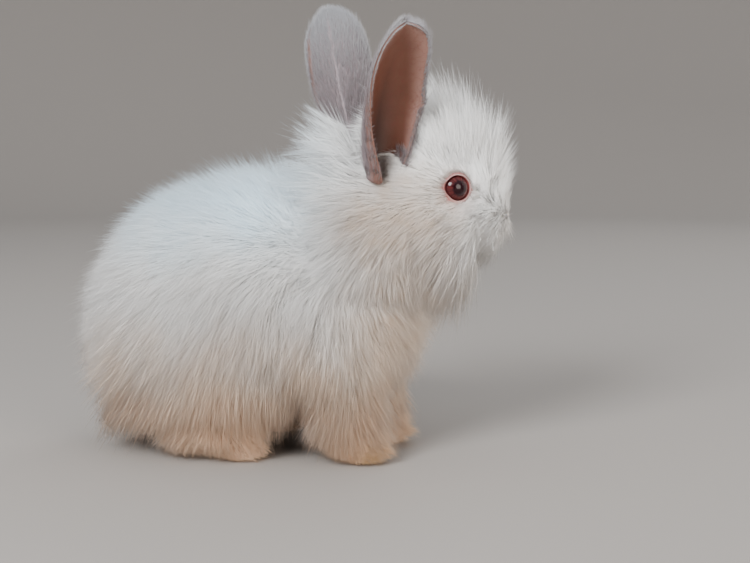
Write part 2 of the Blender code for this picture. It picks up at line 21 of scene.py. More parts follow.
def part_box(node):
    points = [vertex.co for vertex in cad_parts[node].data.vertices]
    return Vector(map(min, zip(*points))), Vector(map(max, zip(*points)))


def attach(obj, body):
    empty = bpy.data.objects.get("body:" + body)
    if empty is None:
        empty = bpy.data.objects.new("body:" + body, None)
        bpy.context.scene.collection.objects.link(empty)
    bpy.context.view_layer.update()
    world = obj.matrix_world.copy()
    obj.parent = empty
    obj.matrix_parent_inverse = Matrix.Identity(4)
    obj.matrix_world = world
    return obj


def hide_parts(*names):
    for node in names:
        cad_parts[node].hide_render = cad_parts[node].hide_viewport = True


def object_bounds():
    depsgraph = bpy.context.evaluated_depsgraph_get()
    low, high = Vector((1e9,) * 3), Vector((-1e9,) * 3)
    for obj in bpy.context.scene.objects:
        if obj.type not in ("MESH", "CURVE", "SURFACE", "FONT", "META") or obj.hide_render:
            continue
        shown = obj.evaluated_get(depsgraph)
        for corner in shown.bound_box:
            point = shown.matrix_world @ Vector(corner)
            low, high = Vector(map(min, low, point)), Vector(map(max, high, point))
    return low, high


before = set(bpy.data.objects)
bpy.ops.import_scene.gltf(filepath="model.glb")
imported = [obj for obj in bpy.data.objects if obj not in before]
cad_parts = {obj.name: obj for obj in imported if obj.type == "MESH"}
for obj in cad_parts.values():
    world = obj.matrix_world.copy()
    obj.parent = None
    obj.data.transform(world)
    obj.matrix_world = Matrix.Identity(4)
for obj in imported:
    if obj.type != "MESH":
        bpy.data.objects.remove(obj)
CAD_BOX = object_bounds()
MM = 0.001
print("nodes:", ", ".join(sorted(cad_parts)))

# %% [markdown]
# ## Sizes
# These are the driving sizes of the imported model, so that the skin lies just inside it. The head has
# a frame of its own, tipped 16 degrees nose down and turned 30 degrees to the rabbit's left.

# %% Driving sizes and the two frames
SQUAT = 3.0  # how much lower the trunk and head sit than the heights below
HEAD_CENTRE = Vector((49.7, 1.6, 114.9))
HEAD_YAW = 30.0
HEAD_PITCH = 16.0
EYE_RADIUS = 6.6
EYE_PLACE = Vector((12.1, 11.0, 1.5))  # left eye, in the head's frame
NOSE_TIP_X = 43.0
EAR_LENGTH = {1: 65.0, -1: 62.0}  # without the fringe round their rims
EAR_WIDTH = 26.0
EAR_OPENING = 66.0  # degrees that an ear's hollow faces away from straight ahead
# Each ear, left and right: its base in the head's frame, degrees forward, degrees out to its side
EARS = {1: (Vector((-21.0, 13.0, 2.0)), -7.0, 19.0), -1: (Vector((-17.0, -13.0, -3.0)), 4.6, 24.0)}
FORE_FOOT = Vector((29.0, 17.0, 0.0))
HIND_FOOT = Vector((-26.0, 25.0, 0.0))


def turn(roll=0.0, pitch=0.0, yaw=0.0):
    """Rotation by degrees: roll about X, then pitch about Y, nose down, then yaw about Z."""
    return (
        Matrix.Rotation(math.radians(yaw), 4, "Z")
        @ Matrix.Rotation(math.radians(pitch), 4, "Y")
        @ Matrix.Rotation(math.radians(roll), 4, "X")
    )


BODY = Matrix.Translation((0, 0, -SQUAT))
HEAD = BODY @ Matrix.Translation(HEAD_CENTRE) @ turn(pitch=HEAD_PITCH, yaw=HEAD_YAW)
HEAD_TURN = HEAD.to_3x3()


def gaze(side):
    """Centre of an eye, and the way that it looks."""
    centre = HEAD @ Vector((EYE_PLACE.x, side * EYE_PLACE.y, EYE_PLACE.z))
    return centre, HEAD_TURN @ Vector((0.18, side, 0.06)).normalized()


def ear_place(side):
    """Where an ear stands: up along its own Z, its hollow towards X."""
    base, forward, splay = EARS[side]
    place = Matrix.Translation(HEAD @ base) @ turn(roll=-side * splay, pitch=forward, yaw=HEAD_YAW)
    return place @ turn(yaw=side * EAR_OPENING) @ Matrix.Translation((-6.0, 0, 0))


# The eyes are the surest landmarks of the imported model, so they give its place.
SIDES = {1: "left", -1: "right"}
SHIFT = Vector()
for side, word in SIDES.items():
    low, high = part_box("eye_" + word)
    SHIFT += 0.5 * ((low + high) / 2 / MM - gaze(side)[0])
print("the packed model stands", [round(v, 2) for v in SHIFT], "mm from the sizes' own origin")

# %% [markdown]
# ## Skin
# A body is made of rounded masses that melt into each other. Sculpting tools would give the same, but
# a few ellipsoids run through a voxel remesh are easier to measure and to change. The head gets a
# finer grid than the trunk, since lids and lips are under a millimetre thick, and a Boolean union
# makes the two one skin.

# %% Ellipsoids for the flesh
# Each row: centre, radii and pitch in degrees; a row off the middle plane is mirrored.
TRUNK_FLESH = [
    ((-40, 0, 63), (37, 31, 39), 0),
    ((-20, 0, 69), (42, 31, 38), 0),
    ((-8, 0, 50), (44, 29, 24), 0),
    ((18, 0, 59), (26, 23, 30), 0),
    ((16, 15, 58), (15, 10, 26), 0),
    ((-36, 20, 46), (30, 14, 25), 0),
    ((-51, 13, 37), (22, 15, 20), 0),
    ((33, 1, 92), (20, 19, 29), 35),
    ((-81, 0, 47), (8, 8.5, 13), -12),
]
HEAD_FLESH = [
    ((0, 0, 0), (24, 17, 19.5), 0),
    ((14, 0, 2), (19, 15, 16.5), 0),
    ((27, 0, -5.5), (15, 10.5, 11), 0),
    ((13, 9, -10.5), (15, 9.5, 11), 0),
    ((21, 0, -13), (15, 8.5, 7.5), 0),
    ((34, 3.8, -8.5), (6.5, 5, 5), 0),
    ((NOSE_TIP_X - 5, 0, -3.5), (5, 5, 5), 0),
]
# Legs, each from its own place on the floor, a coat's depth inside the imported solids
FORELEG_FLESH = [
    ((-4, 0, 32), (10, 8.5, 26), 0),
    ((-2, 0, 9), (10.5, 7.5, 7.0), 0),
    ((5, 0, 5), (8, 6.5, 4.2), 0),
]
HINDLEG_FLESH = [
    ((-1, 0, 10), (16, 7.5, 8.0), 0),
    ((6, 0, 5.5), (12, 6.5, 4.8), 0),
    ((-14, 0, 9), (9, 6.5, 7.8), 0),
]
FORE_TOES = [(8.0, -5.5), (10.3, -1.9), (10.3, 1.9), (8.0, 5.5)]
HIND_TOES = [(13.0, -5.2), (15.4, -1.8), (15.4, 1.9), (13.0, 5.3)]
TOE_RADII = (5.2, 1.75, 2.9)


def both_sides(rows):
    """The rows, with a mirror image of each that is off the middle plane."""
    mirrored = [((x, -y, z), *rest) for (x, y, z), *rest in rows if y]
    return [tuple(row) for row in rows] + mirrored


def placed(name, data):
    """A new object in the scene."""
    obj = bpy.data.objects.new(name, data)
    bpy.context.scene.collection.objects.link(obj)
    return obj


def object_from(bm, name, smooth=False):
    """A new object from a bmesh."""
    for face in bm.faces:
        face.smooth = smooth
    mesh = bpy.data.meshes.new(name)
    bm.to_mesh(mesh)
    bm.free()
    return placed(name, mesh)


def ellipsoid(bm, place, centre, radii, pitch=0.0, detail=4):
    """Adds an ellipsoid to a bmesh."""
    matrix = place @ Matrix.Translation(centre) @ turn(pitch=pitch) @ Matrix.Diagonal((*radii, 1.0))
    bmesh.ops.create_icosphere(bm, subdivisions=detail, radius=1.0, matrix=matrix)


def applied(obj):
    """Bakes the object's modifiers into its mesh."""
    mesh = bpy.data.meshes.new_from_object(obj.evaluated_get(bpy.context.evaluated_depsgraph_get()))
    obj.modifiers.clear()
    old, obj.data = obj.data, mesh
    bpy.data.meshes.remove(old)
    return obj


def melted(bm, name, voxel, smoothing):
    """One smooth closed surface round every mass in a bmesh."""
    obj = object_from(bm, name)
    remesh = obj.modifiers.new("remesh", "REMESH")
    remesh.mode = "VOXEL"
    remesh.voxel_size = voxel
    smooth = obj.modifiers.new("smooth", "SMOOTH")
    smooth.iterations = smoothing
    return applied(obj)


def boolean(obj, other, operation):
    """Joins or cuts obj with another object, which is then removed."""
    modifier = obj.modifiers.new(operation, "BOOLEAN")
    modifier.operation = operation
    modifier.solver = "MANIFOLD"
    modifier.object = other
    applied(obj)
    bpy.data.objects.remove(other)
    return obj


# %% Melt the trunk and legs together
masses = bmesh.new()
for row in both_sides(TRUNK_FLESH):
    ellipsoid(masses, BODY, *row)
for side in SIDES:
    for foot, flesh, toes in ((FORE_FOOT, FORELEG_FLESH, FORE_TOES), (HIND_FOOT, HINDLEG_FLESH, HIND_TOES)):
        at_foot = Matrix.Diagonal((1, side, 1, 1)) @ Matrix.Translation(foot)
        for row in flesh:
            ellipsoid(masses, at_foot, *row)
        for x, y in toes:
            ellipsoid(masses, at_foot, (x - TOE_RADII[0], y, TOE_RADII[2] + 0.3), TOE_RADII)
skin = melted(masses, "skin", voxel=1.0, smoothing=6)
print("trunk and legs:", len(skin.data.polygons), "faces")

# %% Melt the head, with a bulge of lid over each eye
LID_WALL = 1.3
masses = bmesh.new()
for row in both_sides(HEAD_FLESH):
    ellipsoid(masses, HEAD, *row)
for side in SIDES:
    ellipsoid(masses, Matrix.Identity(4), gaze(side)[0], (EYE_RADIUS + LID_WALL,) * 3)
head = melted(masses, "head_form", voxel=0.6, smoothing=22)
print("head:", len(head.data.polygons), "faces")

# %% [markdown]
# ## Nose and mouth
# A rabbit's nose is furry, with two slanting slits for nostrils, a cleft below them and a mouth that
# curls away to each side. These are creases in soft skin, not holes, so each one is a line on the
# surface: every vertex near the line is pushed in along a bell curve. The same distance also makes
# the skin pinker there, through a vertex attribute that the material reads.

# %% Refine the muzzle and press the lines in
MUZZLE_REACH = 12.0
bm = bmesh.new()
bm.from_mesh(head.data)
nose = HEAD @ Vector((NOSE_TIP_X - 2, 0, -6))
fine = [e for e in bm.edges if all((v.co - nose).length < MUZZLE_REACH for v in e.verts)]
bmesh.ops.subdivide_edges(bm, edges=fine, cuts=1, use_grid_fill=True)
bmesh.ops.triangulate(bm, faces=bm.faces)
head_tree = BVHTree.FromBMesh(bm)


def near_to(places, middle, reach):
    """Numbers of the places within reach of a middle."""
    return np.where(np.linalg.norm(places - np.array(middle), axis=1) < reach)[0]


def nearest(places, points):
    """Distance from each place to the nearest of some points."""
    return np.linalg.norm(places[:, None] - np.array(points)[None], axis=2).min(1)


def on_muzzle(x, y, z):
    """Where a ray from inside the muzzle towards a point of the head's frame meets the skin."""
    start = HEAD @ Vector((24, 0, -6))
    way = (HEAD @ Vector((x, y, z)) - start).normalized()
    return head_tree.ray_cast(start + way * 60, -way)[0]


def line_points(stops, steps=14):
    """Points on the muzzle along a line through stops in the head's frame."""
    points = []
    for a, b in zip(stops, stops[1:]):
        for i in range(steps):
            points.append(on_muzzle(*Vector(a).lerp(Vector(b), i / steps)))
    return points


# Each line: its points, how deep it is pressed in, how wide it is, how pink it is
LINES = [(line_points([(48, 0, -5.2), (48, 0, -8.0), (46, 0, -10.4)]), 0.9, 0.45, 0.9)]
for side in SIDES:
    nostril = [(48, side * 1.5, -5.0), (47.3, side * 2.7, -4.2), (46, side * 3.6, -3.0)]
    LINES.append((line_points(nostril), 1.4, 0.55, 1.0))
    mouth = [(46, 0, -10.4), (42, side * 3.0, -12.0), (40, side * 5.0, -12.8)]
    LINES.append((line_points(mouth), 0.8, 0.5, 0.75))
bm.verts.ensure_lookup_table()
bm.normal_update()
places = np.array([v.co[:] for v in bm.verts])
muzzle = near_to(places, nose, MUZZLE_REACH + 4)
press = np.zeros(len(places))
for points, depth, width, _ in LINES:
    pressed = depth * np.exp(-((nearest(places[muzzle], points) / width) ** 2))
    press[muzzle] = np.maximum(press[muzzle], pressed)
moves = [(bm.verts[i], bm.verts[i].normal * -press[i]) for i in muzzle]
for vertex, move in moves:
    vertex.co += move
bm.to_mesh(head.data)
bm.free()
print("muzzle lines pressed into", len(muzzle), "vertices")

# %% [markdown]
# ## Eye openings
# An eye lies in its socket behind lids. The bulge made above is the lid; a ball hollows it out, and a
# column shaped like the opening cuts through its front. The opening is a round almond, a little
# longer towards the back corner, which sits lower than the front one.

# %% Cut the sockets and the openings
OPENING = (5.9, 5.3)  # half width and half height between the lids
CORNER = 0.13  # how much further the opening reaches at its back corner
SOCKET_ROOM = 0.15


def lid_direction(side, angle, wide=1.0):
    """Direction from the eye's centre to the lids' edge: angle 0 is the front corner, 90 degrees the top."""
    outward = gaze(side)[1]
    forward = HEAD_TURN @ Vector((1, 0, 0))
    forward = (forward - outward * forward.dot(outward)).normalized()
    up = forward.cross(outward) * side
    corner = 1 + CORNER * math.exp(-((math.degrees(angle) % 360 - 195) / 24) ** 2)
    across = forward * OPENING[0] * math.cos(angle) + up * OPENING[1] * math.sin(angle)
    return outward * EYE_RADIUS * 0.62 + across * corner * wide * 0.92


def eye_opening(side):
    """The column that opens the lids in front of an eye."""
    bm = bmesh.new()
    centre, outward = gaze(side)
    rings = []
    for out, wide in ((-1.5, 0.98), (0.0, 1.0), (4.0, 1.15), (12.0, 1.6)):
        around = [lid_direction(side, 2 * math.pi * k / 40, wide) for k in range(40)]
        rings.append([bm.verts.new(centre + way + outward * out) for way in around])
    for below, above in zip(rings, rings[1:]):
        for k in range(40):
            bm.faces.new((below[k], below[(k + 1) % 40], above[(k + 1) % 40], above[k]))
    bm.faces.new(rings[0][::-1])
    bm.faces.new(rings[-1])
    bmesh.ops.recalc_face_normals(bm, faces=bm.faces)
    return object_from(bm, "opening")


boolean(skin, head, "UNION")
for side in SIDES:
    ball = bmesh.new()
    ellipsoid(ball, Matrix.Identity(4), gaze(side)[0], (EYE_RADIUS + SOCKET_ROOM,) * 3)
    boolean(skin, eye_opening(side), "DIFFERENCE")
    boolean(skin, object_from(ball, "socket"), "DIFFERENCE")
bm = bmesh.new()
bm.from_mesh(skin.data)
bmesh.ops.triangulate(bm, faces=bm.faces)
bm.to_mesh(skin.data)
skin_tree = BVHTree.FromBMesh(bm)
print("skin:", len(bm.faces), "triangles, closed:", all(e.is_manifold for e in bm.edges))
bm.free()

# %% [markdown]
# ## How the coat lies
# Fur isn't the same anywhere: 30 mm of fluff on the crown, 1 mm on the nose, and on each place it
# points its own way. A groomer's chart says this best, so the coat is described by marks: a place,
# how deep the coat is there, which way it lies, and how far it stands up. Every hair blends the marks
# round its root, weighted by distance.

# %% The chart of the coat
SPREAD = 7.0  # how softly one mark passes into the next
# Each mark: its place, the coat's depth there, the way it lies, and the degrees that it stands up
BODY_MARKS = [
    ((6, 0, 110), 20, (-0.9, 0, 0.25), 55),
    ((18, 0, 113), 27, (-1, 0, 0.25), 58),
    ((-12, 0, 107), 16, (-1, 0, 0.05), 48),
    ((-34, 0, 106), 14.5, (-1, 0, 0), 46),
    ((-60, 0, 92), 13.5, (-0.8, 0, -0.5), 46),
    ((-75, 0, 72), 15.5, (-0.5, 0, -1), 46),
    ((-77, 0, 48), 11, (-0.35, 0, -1), 48),
    ((-66, 20, 50), 17.5, (-0.4, 0.1, -1), 46),
    ((-66, 0, 30), 20, (-0.4, 0, -1), 40),
    ((-60, 25, 30), 21, (-0.45, 0.15, -0.9), 42),
    ((-25, 33, 64), 17, (-0.3, 0.05, -1), 44),
    ((15, 27, 66), 16, (-0.1, 0.05, -1), 44),
    ((-38, 35, 42), 16, (-0.25, 0.1, -1), 44),
    ((-40, 18, 22), 11, (-0.25, 0.1, -1), 34),
    ((-8, 28, 36), 17, (-0.1, 0.15, -1), 44),
    ((-12, 0, 25), 11, (-0.6, 0, -0.6), 31),
    ((45, 0, 58), 14, (0.3, 0, -1), 50),
    ((36, 0, 38), 11, (0.1, 0, -1), 46),
    ((46, 2, 80), 18, (0.1, 0, -1), 48),
    ((26, 18, 96), 18, (-0.7, 0.2, -0.7), 51),
    ((4, 25, 90), 17, (-0.75, 0.1, -0.6), 50),
    ((26, 29, 26), 9, (0, 0.15, -1), 28),
    ((15, 24, 18), 10, (-0.4, 0.15, -1), 32),
    ((38, 18, 26), 8, (0.1, 0, -1), 18),
    ((-86, 0, 47), 13, (-0.3, 0, -1), 44),
]
HEAD_MARKS = [
    ((26, 0, 12), 24, (-0.6, 0, 0.8), 61),
    ((32, 0, 5), 15, (-0.8, 0, 0.6), 56),
    ((NOSE_TIP_X - 4, 0, 1), 9, (-0.8, 0, 0.5), 34),
    ((24, 10, 2), 5, (-0.8, 0.4, 0.1), 22),
    ((21, 14, 8), 6, (-0.7, 0.4, 0.5), 38),
    ((19, 16, -6), 5.5, (-0.8, 0.3, -0.4), 22),
    ((4, 17, 2), 7, (-1, 0.2, 0), 28),
    ((14, 10, 15), 23, (-0.6, 0.3, 0.8), 61),
    ((NOSE_TIP_X, 0, -4), 0.9, (-1, 0, 0.3), 20),
    ((14, 0, 17), 30, (-0.4, 0, 0.9), 62),
    ((2, 0, 20), 23, (-0.3, 0, 1), 58),
    ((0, 14, 14), 18, (-0.3, 0.7, 0.8), 61),
    ((-16, 0, 16), 12, (-1, 0, 0.3), 38),
    ((-24, 0, 0), 28, (-1, 0, 0.1), 58),
    ((13, 16, 2), 3, (-1, 0.1, 0), 15),
    ((-10, 18, 6), 3.5, (-0.6, 0.2, -0.2), 24),
    ((-3, 16, 11), 5.5, (-0.3, 0.4, 0.3), 34),
    ((8, 18, -10), 15.5, (-0.6, 0.35, -0.6), 51),
    ((32, 9, -4), 6, (-0.8, 0.3, -0.4), 20),
    ((19, 10, -18), 23, (-0.1, 0.25, -1), 50),
    ((28, 0, -19), 33, (0.25, 0, -1), 52),
    ((37, 7, -8), 7, (-0.6, 0.4, -0.6), 24),
    ((36, 0, -13), 15, (0.3, 0, -1), 46),
    ((NOSE_TIP_X - 3, 0, -11.5), 11, (0.35, 0, -1), 46),
]
# The solids' legs include their short fur, so the skin's own chart goes on below the hem
FOOT_MARKS = [
    ((25, 26, 9), 5.6, (0.5, 0.2, -1), 38),
    ((36, 17, 9), 6.2, (1, 0, -0.5), 42),
    ((41, 17, 4), 4.8, (1, 0, -0.2), 36),
    ((30, 8, 8), 5.0, (0.5, -0.2, -1), 36),
    ((18, 17, 9), 5.0, (0, 0, -1), 34),
    ((-10, 25, 8), 5.8, (1, 0, -0.5), 40),
    ((-26, 34, 9), 6.0, (0.3, 0.2, -0.9), 28),
    ((-26, 17, 8), 5.0, (0.3, -0.2, -0.9), 25),
    ((-48, 25, 8), 7.0, (-0.3, 0, -1), 28),
    ((-36, 33, 18), 13.0, (-0.1, 0.1, -1), 30),
]


def chart(place, rows):
    """Marks in the rabbit's frame from rows in another, mirrored off the middle plane."""
    full = list(rows)
    for (x, y, z), depth, (u, v, w), stand in rows:
        if y:
            full.append(((x, -y, z), depth, (u, -v, w), stand))
    turned = place.to_3x3()
    return [(*(place @ Vector(p)), d, *(turned @ Vector(l)).normalized(), s) for p, d, l, s in full]


MARKS = np.array(chart(BODY, BODY_MARKS) + chart(HEAD, HEAD_MARKS) + chart(Matrix.Identity(4), FOOT_MARKS))


MUZZLE_SPREAD = 14.0  # how far round the nose the fur lies away from it
LID_EDGE = 5.5  # from the middle of an eye to the first fur
LID_FUR = 3.5  # how soon the fur round an eye is like the rest
HOLLOW_FUR = 2.8  # depth of the coat in the foot of an ear's hollow
EAR_TUBE_MIDDLE = 4.0
EAR_TUBE_BACK = -3.0
CREASE = 0.8  # half width of the gap between two toes


def ear_frame(points, side):
    """Points in an ear's own frame."""
    place = ear_place(side)
    return (points - np.array(place.translation)) @ np.array(place.to_3x3())


def in_ear_tube(own, low, high, radius):
    """True for points of an ear's own frame in its rolled hollow, between two heights."""
    aside = np.hypot(own[..., 0] - EAR_TUBE_MIDDLE, own[..., 1])
    return (own[..., 2] > low) & (own[..., 2] < high) & (own[..., 0] > EAR_TUBE_BACK) & (aside < radius)


def coat_at(points):
    """Depth, lie and stand angle of the coat at each of many points."""
    away = ((points[:, None, :] - MARKS[None, :, :3]) ** 2).sum(2)
    weight = (away + SPREAD**2) ** -3.0
    weight /= weight.sum(1, keepdims=True)
    depth, lie, stand = weight @ MARKS[:, 3], unit(weight @ MARKS[:, 4:7]), weight @ MARKS[:, 7]
    # On the muzzle it lies away from the nose on all sides
    ahead = points - np.array(HEAD @ Vector((NOSE_TIP_X + 1, 0, -2)))
    muzzle = np.exp(-((np.linalg.norm(ahead, axis=1) / MUZZLE_SPREAD) ** 2))[:, None]
    lie = unit(lie * (1 - muzzle) + unit(ahead) * muzzle * 1.6)
    for side in SIDES:
        # Round an eye the fur is shorter, and parts so that none lies across the lids
        centre, outward = (np.array(v) for v in gaze(side))
        offset = points - centre
        aside = offset - (offset @ outward)[:, None] * outward
        reach = np.linalg.norm(aside, axis=1)
        beside = (np.linalg.norm(offset, axis=1) < 20) & (offset @ outward > -3)
        close = np.exp(-((np.maximum(reach - LID_EDGE, 0) / LID_FUR) ** 2)) * beside
        radial = unit(aside)
        inward = np.minimum((lie * radial).sum(1), 0)
        lie = lie - radial * (inward * close * 1.3)[:, None] + radial * (close * 0.1)[:, None]
        lie = unit(lie)
        depth = depth * (1 - 0.45 * close)
        stand = stand + close * 10
        # In the foot of an ear's hollow it is short
        own = ear_frame(points, side)
        depth = np.where(in_ear_tube(own, -2, 30, 9), np.minimum(depth, HOLLOW_FUR), depth)
        # Between the toes it is shorter, so that they can be told apart
        for foot, toes in ((FORE_FOOT, FORE_TOES), (HIND_FOOT, HIND_TOES)):
            own = points - np.array((foot.x, side * foot.y, 0))
            ahead = np.clip((own[:, 0] - 2) / 4, 0, 1) * (own[:, 2] < 12) * (own[:, 0] < 20)
            for (_, a), (_, b) in zip(toes, toes[1:]):
                crease = np.exp(-(((own[:, 1] * side - (a + b) / 2) / CREASE) ** 2)) * ahead
                depth = depth * (1 - 0.6 * crease)
    return depth, lie, stand


def unit(vectors):
    """Each row at length 1."""
    return vectors / np.maximum(np.linalg.norm(vectors, axis=-1, keepdims=True), 1e-9)


print(len(MARKS), "marks chart the coat")

# %% [markdown]
# ## Guide hairs
# Growing every hair with care would be slow. Groomers of digital fur comb a few thousand guides, and
# let the rest follow. A guide leaves the skin at its stand angle, bends over along the lie, droops a
# little, and its angle is tried again until its tip is as high over the skin as the coat is deep.

# %% Comb the guides
GUIDES = 5000
STEPS = 6  # points along a guide
HEM = 5.0  # lowest that a long hair hangs
rng = np.random.default_rng(11)


def vertex_places(mesh):
    """The places of a mesh's vertices."""
    values = np.empty(len(mesh.vertices) * 3)
    mesh.vertices.foreach_get("co", values)
    return values.reshape(-1, 3)


def surface_points(obj, count, density=None):
    """Places and normals strewn over a mesh, by area times density(places)."""
    mesh = obj.data
    faces = np.empty(len(mesh.polygons) * 3, dtype=np.int64)
    mesh.polygons.foreach_get("vertices", faces)
    a, b, c = vertex_places(mesh)[faces.reshape(-1, 3).T]
    cross = np.cross(b - a, c - a)
    area = np.linalg.norm(cross, axis=1) / 2
    weight = area if density is None else area * density((a + b + c) / 3, cross / area[:, None] / 2)
    if count is None:
        count = int(weight.sum())
    pick = rng.choice(len(area), count, p=weight / weight.sum())
    u, v = rng.random((2, count, 1))
    over = u + v > 1
    u, v = np.where(over, 1 - u, u), np.where(over, 1 - v, v)
    return a[pick] + (b - a)[pick] * u + (c - a)[pick] * v, cross[pick] / area[pick, None] / 2


def heights(points):
    """How far each point is over the skin, less than nothing inside it, and the skin's normal there."""
    out, normals = np.empty(len(points)), np.empty((len(points), 3))
    for i, point in enumerate(points):
        near, up, _, _ = skin_tree.find_nearest(point)
        away = Vector(point) - near
        out[i] = away.length if away.dot(up) > 0 else -away.length
        normals[i] = up
    return out, normals


def combed(roots, normals):
    """Paths of guides: an array of STEPS points for each root."""
    depth, lie, stand = coat_at(roots)
    lie = unit(lie + rng.normal(0, 0.08, lie.shape) * np.clip(depth / 14, 0.1, 1)[:, None])
    flat = unit(lie - normals * (lie * normals).sum(1, keepdims=True))
    angle = np.radians(stand)
    length = np.minimum(depth * np.clip(1.05 / np.sin(angle), 1.15, 2.6) + 0.8, 36.0)
    for _ in range(5):
        way = flat * np.cos(angle)[:, None] + normals * np.sin(angle)[:, None]
        at = roots.copy()
        path = [at.copy()]
        for _ in range(STEPS - 1):
            at = at + way * (length / (STEPS - 1))[:, None]
            path.append(at.copy())
            over, up = heights(at)
            along = coat_at(at)[1]
            along = unit(along - up * (along * up).sum(1, keepdims=True))
            push = np.clip(0.8 - over, 0, 2)[:, None] * up * 0.5
            way = unit(way * 0.80 + along * 0.17 + np.array([0, 0, -0.04]) + push)
        high = over - depth
        angle = np.clip(angle * np.where(high > 1, 0.82, np.where(high < -0.7, 1.2, 1)), 0.12, 1.25)
        length *= np.where(at[:, 2] < HEM - 2, 0.85, 1)
    return np.stack(path, 1)


def off_the_sockets(places, normals):
    """False inside the eyes' sockets and on the cut edge of the lids, which faces the line of sight."""
    clear = np.ones(len(places), dtype=bool)
    for side in SIDES:
        offset = places - np.array(gaze(side)[0])
        away = np.linalg.norm(offset, axis=1)
        outside = (unit(offset) * normals).sum(1) > 0.45
        clear &= (away > EYE_RADIUS + SOCKET_ROOM + 0.2) & (outside | (away > EYE_RADIUS + LID_WALL + 1.0))
    return clear


def finer_by_the_face(places, normals):
    """More guides round the eyes and the nose, where the coat changes within millimetres."""
    marks = [gaze(1)[0], gaze(-1)[0], nose]
    away = np.min([np.linalg.norm(places - np.array(mark), axis=1) for mark in marks], axis=0)
    return 1 + 9 * np.exp(-((away / 14) ** 2))


guide_roots, guide_normals = surface_points(skin, GUIDES, finer_by_the_face)
kept = off_the_sockets(guide_roots, guide_normals)
guide_roots, guide_normals = guide_roots[kept], guide_normals[kept]
guides = combed(guide_roots, guide_normals) - guide_roots[:, None]
guide_depths = coat_at(guide_roots)[0]
print(len(guides), "guides, up to", round(float(np.linalg.norm(guides[:, -1], axis=1).max()), 1), "mm long")

# %% [markdown]
# ## A flat map of the skin
# Each tuft gets a small patch of a flat map, onto which its colours can be baked. The patches are laid
# out on an unwrap of the skin's own shape: a light copy of the skin is unwrapped, and each root looks up
# its place there.

# %% Unwrap a light copy of the skin
PATCH = 0.003  # size of a tuft's own patch on the map


def unwrapped(obj, triangles):
    """A search tree over a light unwrapped copy of obj, with its corners in space and on the map."""
    light = placed("light_copy", obj.data.copy())
    lighter = light.modifiers.new("lighter", "DECIMATE")
    lighter.ratio = min(1.0, triangles / len(obj.data.polygons))
    lighter.use_collapse_triangulate = True
    applied(light)
    bpy.context.view_layer.objects.active = light
    light.select_set(True)
    bpy.ops.object.mode_set(mode="EDIT")
    bpy.ops.mesh.select_all(action="SELECT")
    bpy.ops.uv.smart_project(angle_limit=math.radians(66), island_margin=0.004)
    bpy.ops.object.mode_set(mode="OBJECT")
    bm = bmesh.new()
    bm.from_mesh(light.data)
    uv = bm.loops.layers.uv.active
    tree = BVHTree.FromBMesh(bm)
    corners = np.array([[loop.vert.co[:] for loop in face.loops] for face in bm.faces])
    flat = np.array([[loop[uv].uv[:] for loop in face.loops] for face in bm.faces])
    bm.free()
    bpy.data.objects.remove(light)
    return tree, corners, flat


def map_places(unwrap, roots):
    """Each root's place on the map."""
    tree, corners, flat = unwrap
    hits = [tree.find_nearest(root) for root in roots]
    face = np.array([hit[2] for hit in hits])
    at = np.array([hit[0][:] for hit in hits])
    a, b, c = corners[face].transpose(1, 0, 2)
    whole = np.cross(b - a, c - a)
    size = np.maximum((whole**2).sum(1), 1e-12)
    wb = (np.cross(at - a, c - a) * whole).sum(1) / size
    wc = (np.cross(b - a, at - a) * whole).sum(1) / size
    weights = np.stack([1 - wb - wc, wb, wc], 1)[:, :, None]
    return (flat[face] * weights).sum(1)


skin_map = unwrapped(skin, 9000)
print("light copy of the skin:", len(skin_map[1]), "triangles on the map")

# %% [markdown]
# ## Tufts
# A tuft is a thin closed spike of three sides: rings of three corners along its path and a point at
# its tip. Long ones have two rings, so that they bend, and short ones one. All of a piece's tufts
# are written into one mesh straight from arrays, which takes a second where adding them one by one
# would take minutes. The map named Strand runs from 0 at each root to 1 at its tip.

# %% Turn paths into tufts
MOST_TRIANGLES = 190000  # in one piece


